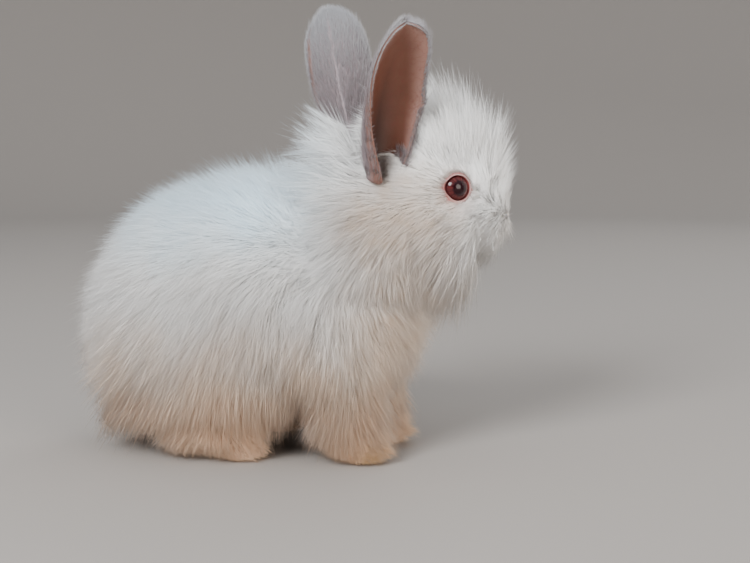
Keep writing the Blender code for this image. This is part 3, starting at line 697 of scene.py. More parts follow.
def tuft_mesh(name, paths, widths, homes):
    """A mesh of closed three-sided tufts along paths (tufts x points x 3), with home places on the map."""
    count, points = paths.shape[:2]
    rings = points - 1
    along = unit(np.gradient(paths, axis=1))
    side = unit(np.cross(along, unit(rng.normal(size=(count, 1, 3)))))
    up = np.cross(along, side)
    taper = np.array(((1.0,), (0.9, 0.75), (0.75, 1.0, 0.7))[rings - 1])
    corners = []
    for k in range(3):
        angle = 2 * math.pi * k / 3
        out = side[:, :rings] * math.cos(angle) + up[:, :rings] * math.sin(angle)
        corners.append(paths[:, :rings] + out * (widths[:, None] * 0.55 * taper)[:, :, None])
    rows = np.stack(corners, 2).reshape(count, rings * 3, 3)
    vertices = np.concatenate([rows, paths[:, -1:]], 1)
    tip = rings * 3
    faces = [(2, 1, 0)]
    for r in range(rings - 1):
        for k in range(3):
            a, b = 3 * r + k, 3 * r + (k + 1) % 3
            faces += [(a, b, b + 3), (a, b + 3, a + 3)]
    for k in range(3):
        faces.append((tip - 3 + k, tip - 3 + (k + 1) % 3, tip))
    faces = np.array(faces)
    loops = (faces[None] + (np.arange(count) * (tip + 1))[:, None, None]).ravel()
    mesh = bpy.data.meshes.new(name)
    mesh.vertices.add(count * (tip + 1))
    mesh.vertices.foreach_set("co", ((vertices.reshape(-1, 3) + np.array(SHIFT)) * MM).ravel())
    mesh.loops.add(len(loops))
    mesh.loops.foreach_set("vertex_index", loops)
    mesh.polygons.add(len(loops) // 3)
    mesh.polygons.foreach_set("loop_start", np.arange(0, len(loops), 3))
    mesh.polygons.foreach_set("use_smooth", np.ones(len(loops) // 3, dtype=bool))
    # Where each corner of a tuft lies on the two maps
    ring = np.append(np.repeat(np.arange(rings), 3), rings) / rings
    across = np.append(np.tile([-0.5, 0.0, 0.5], rings), 0.0)
    drop = np.zeros(tip + 1)
    drop[1] = -0.2  # opens the root's own face on the map
    strand = np.stack([across + 0.5, ring], 1)
    patch = np.stack([across, ring - 0.5 + drop], 1) * PATCH
    corner = faces.ravel()
    mesh.uv_layers.new(name="Strand").data.foreach_set("uv", np.tile(strand[corner], (count, 1)).ravel())
    own = np.clip(homes[:, None] + patch[corner][None], 0, 1)
    mesh.uv_layers.new(name="OFBake").data.foreach_set("uv", own.ravel())
    mesh.uv_layers["Strand"].active_render = True
    mesh.update()
    return placed(name, mesh)


def tuft_pieces(name, paths, widths, homes, finish):
    """As many pieces as the tufts need, each strewn over the whole of their ground."""
    pieces = []
    number = math.ceil(len(paths) * (6 * paths.shape[1] - 8) / MOST_TRIANGLES)
    for i in range(number):
        word = f"{name}_{i + 1}" if number > 1 else name
        piece = tuft_mesh(word, paths[i::number], widths[i::number], homes[i::number])
        piece.data.materials.append(finish)
        pieces.append(piece)
    triangles = sum(len(p.data.polygons) for p in pieces)
    print(name, len(paths), "tufts in", number, "pieces,", triangles, "triangles")
    return pieces


# %% [markdown]
# ## Finishes
# White fur isn't white paint. Here it has painted cool light high on the back, a creamy to peach tint low on
# the flanks and belly that is partly a real stain and partly painted warm light reflected from the floor,
# painted grey shade behind the cheek, under the jaw and at the foot of each ear, and a real straw-yellow
# stain at the toes. These markings and painted light are one node group, built once, which the skin and
# every tuft share, so that no hair differs from the ground it grows from. It reads the place of a point in
# space, so it needs no image.

# %% The markings and painted light, as a node group
def socket_node(tree, kind, **values):
    """A node with the given properties."""
    node = tree.nodes.new(kind)
    for key, value in values.items():
        setattr(node, key, value)
    return node


def math_node(tree, operation, a, b=None, c=None, clamp=False):
    """A Math node on sockets or numbers."""
    node = tree.nodes.new("ShaderNodeMath")
    node.operation = operation
    node.use_clamp = clamp
    for i, value in enumerate((a, b, c)):
        if value is None:
            continue
        if isinstance(value, (int, float)):
            node.inputs[i].default_value = value
        else:
            tree.links.new(value, node.inputs[i])
    return node.outputs[0]


def mixed(tree, amount, a, b):
    """Colour a turned towards colour b by amount."""
    node = tree.nodes.new("ShaderNodeMix")
    node.data_type = "RGBA"
    for index, value in ((0, amount), (6, a), (7, b)):
        if isinstance(value, (int, float)):
            node.inputs[index].default_value = value
        elif isinstance(value, tuple):
            node.inputs[index].default_value = (*value, 1.0)
        else:
            tree.links.new(value, node.inputs[index])
    return node.outputs[2]


def vector_node(tree, operation, a, b=None):
    """A Vector Math node on sockets or vectors."""
    node = tree.nodes.new("ShaderNodeVectorMath")
    node.operation = operation
    for i, value in enumerate((a, b)):
        if isinstance(value, bpy.types.NodeSocket):
            tree.links.new(value, node.inputs[i])
        elif value is not None:
            node.inputs[i].default_value = value
    return node.outputs


def noise(tree, vector, scale, detail=3.0):
    """Fractal noise on a vector."""
    node = tree.nodes.new("ShaderNodeTexNoise")
    node.inputs["Scale"].default_value = scale
    node.inputs["Detail"].default_value = detail
    tree.links.new(vector, node.inputs["Vector"])
    return node.outputs["Fac"]


def near(tree, vector, centre, reach):
    """1 at a centre in the rabbit's frame, falling to 0 at reach millimetres."""
    away = vector_node(tree, "DISTANCE", vector, (Vector(centre) + SHIFT) * MM)["Value"]
    return rising(tree, away, 0.0, reach * MM, 1.0, 0.0)


def rising(tree, value, low, high, start=0.0, end=1.0):
    """start below low and end above high, softly between them."""
    rise = tree.nodes.new("ShaderNodeMapRange")
    rise.interpolation_type = "SMOOTHSTEP"
    tree.links.new(value, rise.inputs["Value"])
    for key, given in (("From Min", low), ("From Max", high), ("To Min", start), ("To Max", end)):
        rise.inputs[key].default_value = given
    return rise.outputs["Result"]


SNOW = (0.90, 0.885, 0.865)
# Painted cool light from above, high on the back
COOL_TOP_LIGHT = (0.67, 0.82, 0.91)
# Low down, CREAM and PEACH are partly a real stain and partly painted warm light reflected from the floor
CREAM = (0.87, 0.69, 0.54)
PEACH = (0.82, 0.54, 0.35)
# Grey for painted shade behind the cheek, under the jaw and at the foot of each ear
SHADE_GREY = (0.42, 0.33, 0.27)
STRAW = (0.46, 0.27, 0.09)
BLUSH = (0.78, 0.55, 0.47)


def build_markings_and_light():
    """The group: a place in space in, the coat's colour there out, with its painted light and shade."""
    tree = bpy.data.node_groups.new("coat_markings_and_light", "ShaderNodeTree")
    tree.interface.new_socket("Place", in_out="INPUT", socket_type="NodeSocketVector")
    tree.interface.new_socket("Colour", in_out="OUTPUT", socket_type="NodeSocketColor")
    place = tree.nodes.new("NodeGroupInput").outputs[0]
    apart = tree.nodes.new("ShaderNodeSeparateXYZ")
    tree.links.new(place, apart.inputs[0])
    height = apart.outputs["Z"]
    wander = math_node(tree, "MULTIPLY_ADD", noise(tree, place, 45.0), 0.03, -0.015)
    height = math_node(tree, "ADD", height, wander)
    behind = math_node(tree, "SUBTRACT", 1.0, rising(tree, apart.outputs["X"], -0.01, 0.04))
    # Painted cool light from above, high on the back
    top_lit = math_node(tree, "MULTIPLY", rising(tree, height, 0.070, 0.105), behind)
    colour = mixed(tree, top_lit, SNOW, COOL_TOP_LIGHT)
    # Creamy, then peach, low down: partly a real stain, partly painted warm light reflected from the floor
    low = math_node(tree, "SUBTRACT", 1.0, rising(tree, height, 0.022, 0.066))
    colour = mixed(tree, low, colour, CREAM)
    lowest = math_node(tree, "SUBTRACT", 1.0, rising(tree, height, 0.006, 0.040))
    colour = mixed(tree, math_node(tree, "MULTIPLY", lowest, 0.85), colour, PEACH)
    blotch = rising(tree, noise(tree, place, 130.0, 4.0), 0.45, 0.7)
    # Stains, and grey patches of painted shade
    for centre, reach, colour_there, strength in STAINS_AND_SHADE:
        spot = math_node(tree, "MULTIPLY", near(tree, place, centre, reach), strength)
        patchy = math_node(tree, "MULTIPLY_ADD", blotch, 0.45, 0.55)
        colour = mixed(tree, math_node(tree, "MULTIPLY", spot, patchy), colour, colour_there)
    out = tree.nodes.new("NodeGroupOutput")
    tree.links.new(colour, out.inputs[0])
    return tree


# Each stain or patch of painted shade: its frame, its place on the left side, reach in mm, colour, strength
# on the right and left
STAINS_AND_SHADE = []
for place, (x, y, z), reach, colour, *strengths in (
    (Matrix(), (50, 18, 56), 42.0, CREAM, 1.0, 1.0),
    # The grey rows are painted shade behind the cheek, under the jaw and at the foot of each ear
    (Matrix(), (31, 34, 98), 27.0, SHADE_GREY, 0.8, 0.6),
    (Matrix(), (39, 21, 1), 14.0, STRAW, 1.0, 0.7),
    (Matrix(), (-50, 25, 3), 12.0, STRAW, 0.55, 0.55),
    (HEAD, (-20, 24, -20), 20.0, SHADE_GREY, 0.5, 0.5),
    (HEAD, (-19, 18, -2), 11.0, SHADE_GREY, 0.6, 0.6),
    (HEAD, (-6, 25, -18), 36.0, CREAM, 1.0, 1.0),
    (HEAD, (-4, 24, -14), 26.0, SHADE_GREY, 0.22, 0.22),
    (HEAD, (12, 16, 0), 13.0, BLUSH, 0.8, 0.8),
):
    for side, strength in zip((-1, 1), strengths):
        STAINS_AND_SHADE.append((place @ Vector((x, side * y, z)), reach, colour, strength))
STAINS_AND_SHADE.append((HEAD @ Vector((NOSE_TIP_X + 1, 0, -4)), 7.0, BLUSH, 1.0))
MARKINGS_AND_LIGHT = build_markings_and_light()
print("markings group:", len(MARKINGS_AND_LIGHT.nodes), "nodes")


# %% Fur and skin materials
def new_finish(name):
    """A material, its tree, its Principled shader and the place socket of its markings."""
    made = bpy.data.materials.new(name)
    made.use_nodes = True
    tree = made.node_tree
    where = tree.nodes.new("ShaderNodeTexCoord").outputs["Object"]
    return made, tree, tree.nodes["Principled BSDF"], where


def markings_and_light_at(tree, where):
    """The shared markings and painted light at a place."""
    marks = tree.nodes.new("ShaderNodeGroup")
    marks.node_tree = MARKINGS_AND_LIGHT
    tree.links.new(where, marks.inputs[0])
    return marks.outputs[0]


def fleshy(shader, weight, radius):
    """Lets a little light through."""
    shader.inputs["Subsurface Weight"].default_value = weight
    shader.inputs["Subsurface Radius"].default_value = radius


def grained(tree, shader, height, strength):
    """Fine grain, pressed into the surface."""
    bump = socket_node(tree, "ShaderNodeBump")
    bump.inputs["Strength"].default_value = strength
    bump.inputs["Distance"].default_value = 0.0003
    tree.links.new(height, bump.inputs["Height"])
    tree.links.new(bump.outputs[0], shader.inputs["Normal"])


def fur_finish(name, root_shade=0.92, roughness=0.62, thin=0.0, white_from=0.135):
    """White fur: the shared markings and painted light, painted shade a touch deeper at the root, each hair a
    little different.

    Where the coat is thin, as low on an ear's back, the skin under it shows in its colour; there it is also
    darkened as painted shade, less so towards the top.
    """
    made, tree, shader, where = new_finish(name)
    colour = markings_and_light_at(tree, where)
    strand = socket_node(tree, "ShaderNodeUVMap", uv_map="Strand")
    apart = tree.nodes.new("ShaderNodeSeparateXYZ")
    tree.links.new(strand.outputs[0], apart.inputs[0])
    tip = rising(tree, apart.outputs["Y"], 0.0, 0.65)
    streak = noise(tree, where, 900.0, 2.0)
    # Painted shade deep in the coat: darker towards each tuft's root
    shade = math_node(tree, "MULTIPLY_ADD", tip, 1.0 - root_shade, root_shade)
    shade = math_node(tree, "MULTIPLY", shade, math_node(tree, "MULTIPLY_ADD", streak, 0.12, 0.94))
    # Thin fur over pink skin, and painted shade: darker low down, lighter towards the top
    if thin:
        high = tree.nodes.new("ShaderNodeSeparateXYZ")
        tree.links.new(where, high.inputs[0])
        up = rising(tree, high.outputs["Z"], white_from, white_from + 0.045)
        under = mixed(tree, up, (0.17, 0.125, 0.13), (0.40, 0.40, 0.43))
        colour = mixed(tree, thin, colour, under)
    dimmed = vector_node(tree, "SCALE", colour)[0]
    tree.links.new(shade, dimmed.node.inputs["Scale"])
    tree.links.new(dimmed, shader.inputs["Base Color"])
    rough = math_node(tree, "MULTIPLY_ADD", streak, 0.2, roughness - 0.1)
    tree.links.new(rough, shader.inputs["Roughness"])
    shader.inputs["Specular IOR Level"].default_value = 0.25
    shader.inputs["Sheen Weight"].default_value = 0.35
    shader.inputs["Sheen Roughness"].default_value = 0.5
    return made


PINK = (0.32, 0.075, 0.065)


def skin_finish():
    """Skin under the coat: the same markings and painted light, pink where the attribute says that it is
    bare.
    """
    made, tree, shader, where = new_finish("rabbit_skin")
    bare = socket_node(tree, "ShaderNodeAttribute", attribute_name="bare").outputs["Fac"]
    blush = mixed(tree, noise(tree, where, 400.0), PINK, (0.20, 0.04, 0.038))
    tree.links.new(mixed(tree, bare, markings_and_light_at(tree, where), blush), shader.inputs["Base Color"])
    tree.links.new(math_node(tree, "MULTIPLY_ADD", bare, -0.3, 0.75), shader.inputs["Roughness"])
    grained(tree, shader, noise(tree, where, 1600.0, 3.0), 0.35)
    fleshy(shader, 0.15, (0.002, 0.001, 0.0006))
    return made


COAT_FINISH = fur_finish("angora_fur")
FACE_FINISH = fur_finish("short_face_fur", root_shade=0.94)
# On the ears the fur is dark partly because it is thin over pink skin, partly as painted shade
EAR_FUR_FINISH = fur_finish("thin_shaded_ear_fur", root_shade=0.75, thin=0.97, white_from=0.130)
EAR_BACK_FINISH = fur_finish("ear_back_fur", root_shade=0.85, thin=0.97, white_from=0.146)
SKIN_FINISH = skin_finish()

# %% [markdown]
# ## The coat
# Angora fur has layers: a woolly mass of short, straying down that fills it, and fewer, longer hairs
# that lie in order over it. Each layer here is strewn over the skin with its own density and its own
# habits. Every hair takes its path from the three guides round it; hairs of one clump lean together
# towards their tips, and a few stray ones make the outline look soft.

# %% Where hair may grow
SHORT_COAT = 9.0  # depth under which there is one layer only
LONGEST_IN_EAR = 5.0  # a longer hair would show in an ear's hollow
BOX_MARGIN = 0.015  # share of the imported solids' size by which the coat may pass them


def clear_of_lines(places):
    """False in the nostrils, the cleft and the line of the mouth."""
    clear = np.ones(len(places), dtype=bool)
    close = near_to(places, nose, MUZZLE_REACH + 4)
    for points, _, width, _ in LINES:
        clear[close] &= nearest(places[close], points) > width * 0.7
    return clear


def clear_of_eyes(paths):
    """False for tufts that would cross the opening between the lids."""
    clear = np.ones(len(paths), dtype=bool)
    share = np.linspace(0, 1, 6)[None] * np.ones((len(paths), 1))
    places = at_share(paths, share)
    for side in SIDES:
        centre, outward = gaze(side)
        offset = places - np.array(centre)
        ahead = offset @ np.array(outward)
        aside = np.linalg.norm(offset - ahead[..., None] * np.array(outward), axis=2)
        clear &= ~((ahead > 2.0) & (ahead < 25) & (aside < 5.5)).any(1)
    return clear


def clear_of_ears(paths):
    """False for tufts of the head that would stand in an ear's hollow."""
    clear = np.ones(len(paths), dtype=bool)
    long = np.linalg.norm(paths[:, -1] - paths[:, 0], axis=1) > LONGEST_IN_EAR
    for side in SIDES:
        clear &= ~(in_ear_tube(ear_frame(paths, side), 8.5, 60, 9.5).any(1) & long)
    return clear


def coat_roots(dense, short):
    """Roots, normals and coat depths for a layer with so many tufts a square millimetre."""

    def density(places, normals):
        depth = coat_at(places)[0]
        inside = depth < SHORT_COAT + 1 if short else depth > SHORT_COAT - 1
        sole = (places[:, 2] < 1.2) & (normals[:, 2] < -0.5)
        buried = (normals[:, 2] < -0.75) & (places[:, 2] > 15) & (places[:, 0] < 30)
        return dense * inside * ~sole * np.where(buried, 0.5, 1)

    places, normals = surface_points(skin, None, density)
    kept = clear_of_lines(places) & off_the_sockets(places, normals)
    places, normals = places[kept], normals[kept]
    depth = coat_at(places)[0]
    inside = depth < SHORT_COAT if short else depth >= SHORT_COAT
    return places[inside], normals[inside], depth[inside]


# %% Paths that follow the guides
guide_tree = KDTree(len(guide_roots))
for i, root in enumerate(guide_roots):
    guide_tree.insert(root, i)
guide_tree.balance()


def at_share(paths, share):
    """Points of each path at the given shares of its length."""
    place = np.clip(share, 0, 1) * (paths.shape[1] - 1)
    low = np.minimum(place.astype(int), paths.shape[1] - 2)
    rest = (place - low)[..., None]
    row = np.arange(len(paths))[:, None]
    return paths[row, low] * (1 - rest) + paths[row, low + 1] * rest


def trim(roots, paths):
    """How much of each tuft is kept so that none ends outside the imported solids' box and a margin."""
    low, high = (np.array(v) / MM - np.array(SHIFT) for v in CAD_BOX)
    spare = (high - low) * BOX_MARGIN
    low, high = low - spare, high + spare
    tips = paths[:, -1]
    reach = np.where(tips > roots, high - roots, roots - low)
    return np.clip((reach / np.maximum(np.abs(tips - roots), 1e-6)).min(1), 0.2, 1)


def grown(roots, normals, points, length, clump, stray):
    """A path of points for each root, from the guides round it, as long as the chart says there."""
    count = len(roots)
    found = [guide_tree.find_n(root, 3) for root in roots]
    nearest = np.array([[f[1] for f in three] for three in found])
    weight = 1 / (np.array([[f[2] for f in three] for three in found]) + 0.5) ** 2
    weight /= weight.sum(1, keepdims=True)
    share = np.linspace(0, 1, points)[None] * np.ones((count, 1))
    path = np.zeros((count, points, 3))
    for k in range(3):
        guide = at_share(guides[nearest[:, k]], share * np.minimum(length, 1)[:, None])
        path += guide * weight[:, k, None, None]
    own = coat_at(roots)[0] / (guide_depths[nearest] * weight).sum(1)
    path *= (np.maximum(length, 1) * np.clip(own, 0.3, 1.25))[:, None, None]
    span = np.linalg.norm(path[:, -1], axis=1)[:, None, None]
    lean = (guide_roots[nearest[:, 0]] - roots)[:, None] * (clump[:, None] * share**1.2)[..., None]
    wander = unit(rng.normal(size=(count, 1, 3))) * span * stray[:, None, None] * (share**1.4)[..., None]
    wave = unit(rng.normal(size=(count, 1, 3))) * span * 0.03
    wave = wave * np.sin(share * rng.uniform(3, 7, (count, 1)) + rng.uniform(0, 6, (count, 1)))[..., None]
    path = roots[:, None] + path + lean + wander + wave * share[..., None]
    path = roots[:, None] + (path - roots[:, None]) * trim(roots, path)[:, None, None]
    path[:, 0] -= normals * 0.5
    path[:, 1:, 2] = np.maximum(path[:, 1:, 2], 0.35 + rng.random((count, 1)) * 0.8)
    return path


# %% Grow the coat, layer by layer
# Each layer: points along a tuft, tufts a square millimetre, shortest and longest share of the guide,
# clumping, straying, and width in mm
COAT_LAYERS = {
    "down": (2, 2.9, 0.50, 0.84, 0.02, 0.26, 0.30),
    "wool": (2, 3.3, 0.68, 1.02, 0.04, 0.22, 0.24),
    "long": (3, 0.45, 0.86, 1.08, 0.10, 0.18, 0.20),
}
FACE_LAYER = (2, 13.0, 0.70, 1.08, 0.0, 0.12, 0.19)
FOOT_LAYER = (2, 7.5, 0.65, 1.15, 0.25, 0.20, 0.19)


def coat_paths(layer, places, normals):
    """Paths, widths and places on the map of one layer's tufts at these roots."""
    points, _, shortest, longest, clumping, straying, thick = layer
    count = len(places)
    length = rng.uniform(shortest, longest, count)
    clump = clumping * rng.uniform(0.4, 1.6, count)
    stray = straying * rng.uniform(0.2, 1.5, count)
    path = grown(places, normals, points, length, clump, stray)
    width = thick * rng.uniform(0.7, 1.25, count)
    along = at_share(path, np.linspace(0, 1, 5)[None] * np.ones((count, 1)))
    clear = clear_of_eyes(path) & clear_of_ears(along)
    return path[clear], width[clear], map_places(skin_map, places[clear])


def in_head(places):
    """True for places that belong to the head and throat."""
    own = (places - np.array(HEAD.translation)) @ np.array(HEAD_TURN)
    return (np.linalg.norm(own / np.array([46, 30, 34]), axis=1) < 1) & (places[:, 2] > 84)


coat = []
for word, layer in COAT_LAYERS.items():
    places, normals, depth = coat_roots(layer[1], short=False)
    head_zone = in_head(places)
    for zone, chosen in (("head", head_zone), ("body", ~head_zone)):
        hairs = coat_paths(layer, places[chosen], normals[chosen])
        coat += tuft_pieces(f"coat_{zone}_{word}", *hairs, COAT_FINISH)

# %% Wisps on the nape, where the longest hair gathers into points
WISPS = 85
WISP_HAIRS = 26
nape = np.array([mark[:3] for mark in MARKS if mark[3] >= 21 and mark[4] < -0.5])
middles, facing = surface_points(skin, 6000)
away = np.linalg.norm(middles[:, None] - nape[None], axis=2).min(1)
chosen = np.where((away < 17) & (middles[:, 2] > 95))[0][:WISPS]
around = rng.normal(0, 1.5, (len(chosen), WISP_HAIRS, 3))
roots, normals = [], []
for middle, strewn in zip(middles[chosen], around):
    for offset in strewn:
        near_place, up, _, _ = skin_tree.find_nearest(middle + offset)
        roots.append(near_place[:])
        normals.append(up[:])
roots, normals = np.array(roots), np.array(normals)
whole = np.ones(len(roots))
path = grown(roots, normals, 3, whole * rng.uniform(0.95, 1.2, len(roots)), whole * 0, whole * 0.04)
point = path[:, -1].reshape(-1, WISP_HAIRS, 3).mean(1).repeat(WISP_HAIRS, 0)
share = np.linspace(0, 1, 3)[None, :, None] ** 1.3
path += (point - path[:, -1])[:, None] * share * 0.85
coat += tuft_pieces("coat_nape_wisps", path, whole * 0.24, map_places(skin_map, roots), COAT_FINISH)

# %% Short fur of the face and feet
for word, layer in (("face", FACE_LAYER), ("feet", FOOT_LAYER)):
    places, normals, depth = coat_roots(layer[1], short=True)
    chosen = in_head(places) == (word == "face")
    hairs = coat_paths(layer, places[chosen], normals[chosen])
    coat += tuft_pieces("coat_" + word, *hairs, FACE_FINISH)
print("coat so far:", sum(len(o.data.polygons) for o in coat), "triangles in", len(coat), "pieces")

# %% [markdown]
# ## Ears
# An ear is a thin vane, rolled into a tube at its base and opening upwards into a cup. It is a grid
# of points worked out from its width and roll at each height, given a wall that thins to a soft edge.
# Its back has short flat hair, its rim a dense white fringe, and the hollow is nearly bare, brownish
# pink and darker in its depth, which is painted shade; the back's skin is greyed with painted shade too.

# %% The ear's own surface
EAR_ROWS = 46
EAR_COLUMNS = 30
EAR_WALL = 1.3


def ear_middle(side):
    """Points of an ear's middle surface, and its normals towards the hollow."""
    grid = np.empty((EAR_ROWS + 1, EAR_COLUMNS + 1, 3))
    for i in range(EAR_ROWS + 1):
        up = 1 - (1 - i / EAR_ROWS) ** 1.25
        narrowing = math.sqrt(max(0.0, 1 - max(0.0, (up - 0.45) / 0.552) ** 5.0))
        chord = max(EAR_WIDTH * min(1.0, 0.42 + 1.15 * up) * narrowing, 2.5)
        span = math.radians(min(290.0, 285 * (1 - up) ** 2.2 + 95 * min(1.0, 1.6 * up + 0.2)))
        radius = chord / (2 * math.sin(min(span, math.pi) / 2))
        lean = 5.0 * math.sin(math.pi * up) - 2.0 * up
        angle = span * (np.arange(EAR_COLUMNS + 1) / EAR_COLUMNS - 0.5)
        high = angle * 0 + EAR_LENGTH[side] * up
        grid[i] = np.stack([radius * (1 - np.cos(angle)) - lean, radius * np.sin(angle), high], 1)
    normal = unit(np.cross(np.gradient(grid, axis=1), np.gradient(grid, axis=0)))
    place = np.array(ear_place(side))
    return grid @ place[:3, :3].T + place[:3, 3], normal @ place[:3, :3].T


def ear_skin(name, side):
    """The ear's closed wall, with attributes for its hollow and how deep in it a point lies."""
    grid, normal = ear_middle(side)
    across = np.linspace(-1, 1, EAR_COLUMNS + 1)[None, :, None]
    up = np.linspace(0, 1, EAR_ROWS + 1)[:, None, None]
    half = EAR_WALL / 2 * np.sqrt(1 - 0.9 * np.maximum(np.abs(across), np.maximum(up * 1.0, 0) ** 3) ** 6)
    fold = 1.5 * np.exp(-(((across - side * 0.70) / 0.08) ** 2)) * np.clip((0.72 - up) / 0.4, 0, 1)
    vein = 0.25 * np.exp(-((across / 0.05) ** 2)) * (1 - up)
    inner, outer = grid + normal * (half + fold), grid - normal * (half + vein)
    count = (EAR_ROWS + 1) * (EAR_COLUMNS + 1)
    bm = bmesh.new()
    made = [bm.verts.new(p) for p in np.concatenate([inner.reshape(-1, 3), outer.reshape(-1, 3)])]
    index = np.arange(count).reshape(EAR_ROWS + 1, EAR_COLUMNS + 1)
    for layer, flip in ((0, False), (count, True)):
        for i in range(EAR_ROWS):
            for j in range(EAR_COLUMNS):
                corners = [index[i, j], index[i, j + 1], index[i + 1, j + 1], index[i + 1, j]]
                bm.faces.new([made[c + layer] for c in (corners[::-1] if flip else corners)])
    rim = list(index[0]) + list(index[1:, -1]) + list(index[-1, -2::-1]) + list(index[-2:0:-1, 0])
    for a, b in zip(rim, rim[1:] + rim[:1]):
        bm.faces.new([made[b], made[a], made[a + count], made[b + count]])
    bmesh.ops.recalc_face_normals(bm, faces=bm.faces)
    ear = object_from(bm, name, smooth=True)
    # How deep in the hollow a point lies, which the finish paints darker as shade
    depth = np.clip(1 - np.abs(across[..., 0]) * 1.05, 0, 1) * np.clip(1.15 - up[..., 0], 0, 1)
    margin = (np.clip((across[..., 0] * side - 0.55) / 0.25, 0, 1) + up[..., 0] * 0).ravel()
    fields = (("hollow", 1.0, margin * 0.95), ("deep", depth.ravel(), margin * 0.17))
    for attribute, inside, outside in fields:
        values = np.concatenate([np.ones(count) * inside, np.ones(count) * outside])
        ear.data.attributes.new(attribute, "FLOAT", "POINT").data.foreach_set("value", values)
    return ear, grid, normal


def ear_finish():
    """Back: greyish pink, partly painted shade. Hollow: brownish pink with faint veins, darker in its depth
    as painted shade.
    """
    made, tree, shader, where = new_finish("ear_skin")
    hollow = socket_node(tree, "ShaderNodeAttribute", attribute_name="hollow").outputs["Fac"]
    deep = socket_node(tree, "ShaderNodeAttribute", attribute_name="deep").outputs["Fac"]
    mottle = noise(tree, where, 160.0, 5.0)
    inside = mixed(tree, mottle, (0.33, 0.19, 0.155), (0.24, 0.12, 0.095))
    # Painted shade: darker deep in the hollow
    bowl = mixed(tree, mottle, (0.155, 0.058, 0.034), (0.115, 0.040, 0.022))
    inside = mixed(tree, rising(tree, deep, 0.02, 0.30), inside, bowl)
    veins = noise(tree, where, 330.0, 6.0)
    thin = math_node(tree, "ABSOLUTE", math_node(tree, "SUBTRACT", veins, 0.5))
    thin = math_node(tree, "SUBTRACT", 1.0, rising(tree, thin, 0.0, 0.03))
    inside = mixed(tree, math_node(tree, "MULTIPLY", thin, 0.35), inside, (0.16, 0.035, 0.026))
    # Painted shade, darkest at the bottom of the hollow
    inside = mixed(tree, rising(tree, deep, 0.35, 1.0), inside, (0.040, 0.013, 0.008))
    # Greyish pink back, darkened as painted shade
    back = mixed(tree, mottle, (0.28, 0.22, 0.23), (0.20, 0.145, 0.155))
    tree.links.new(mixed(tree, hollow, back, inside), shader.inputs["Base Color"])
    tree.links.new(math_node(tree, "MULTIPLY_ADD", mottle, 0.2, 0.45), shader.inputs["Roughness"])
    grained(tree, shader, noise(tree, where, 1200.0, 4.0), 0.4)
    fleshy(shader, 0.2, (0.0025, 0.001, 0.0007))
    return made


EAR_FINISH = ear_finish()

# %% Short hair on the back of an ear, and the fringe round its rim
EAR_BACK_TUFTS = 9500
EAR_RIM_TUFTS = 3800
EAR_TIP_TUFTS = 360
EAR_FOOT_TUFTS = 260


def grid_points(grid, v, u):
    """Points of a grid at shares v of its height and u of its width, from 0 to 1."""
    i = np.clip(v, 0, 1) * (grid.shape[0] - 1)
    j = np.clip(u, 0, 1) * (grid.shape[1] - 1)
    a, b = np.minimum(i.astype(int), grid.shape[0] - 2), np.minimum(j.astype(int), grid.shape[1] - 2)
    fi, fj = (i - a)[:, None], (j - b)[:, None]
    low = grid[a, b] * (1 - fj) + grid[a, b + 1] * fj
    high = grid[a + 1, b] * (1 - fj) + grid[a + 1, b + 1] * fj
    return low * (1 - fi) + high * fi


def bent_paths(roots, start, finish, length, points=3):
    """Paths that leave roots towards start and turn towards finish."""
    share = np.linspace(0, 1, points)[None, :, None]
    first, last = unit(start)[:, None], unit(finish)[:, None]
    return roots[:, None] + length[:, None, None] * (first * (share - share**2 / 2) + last * share**2 / 2)


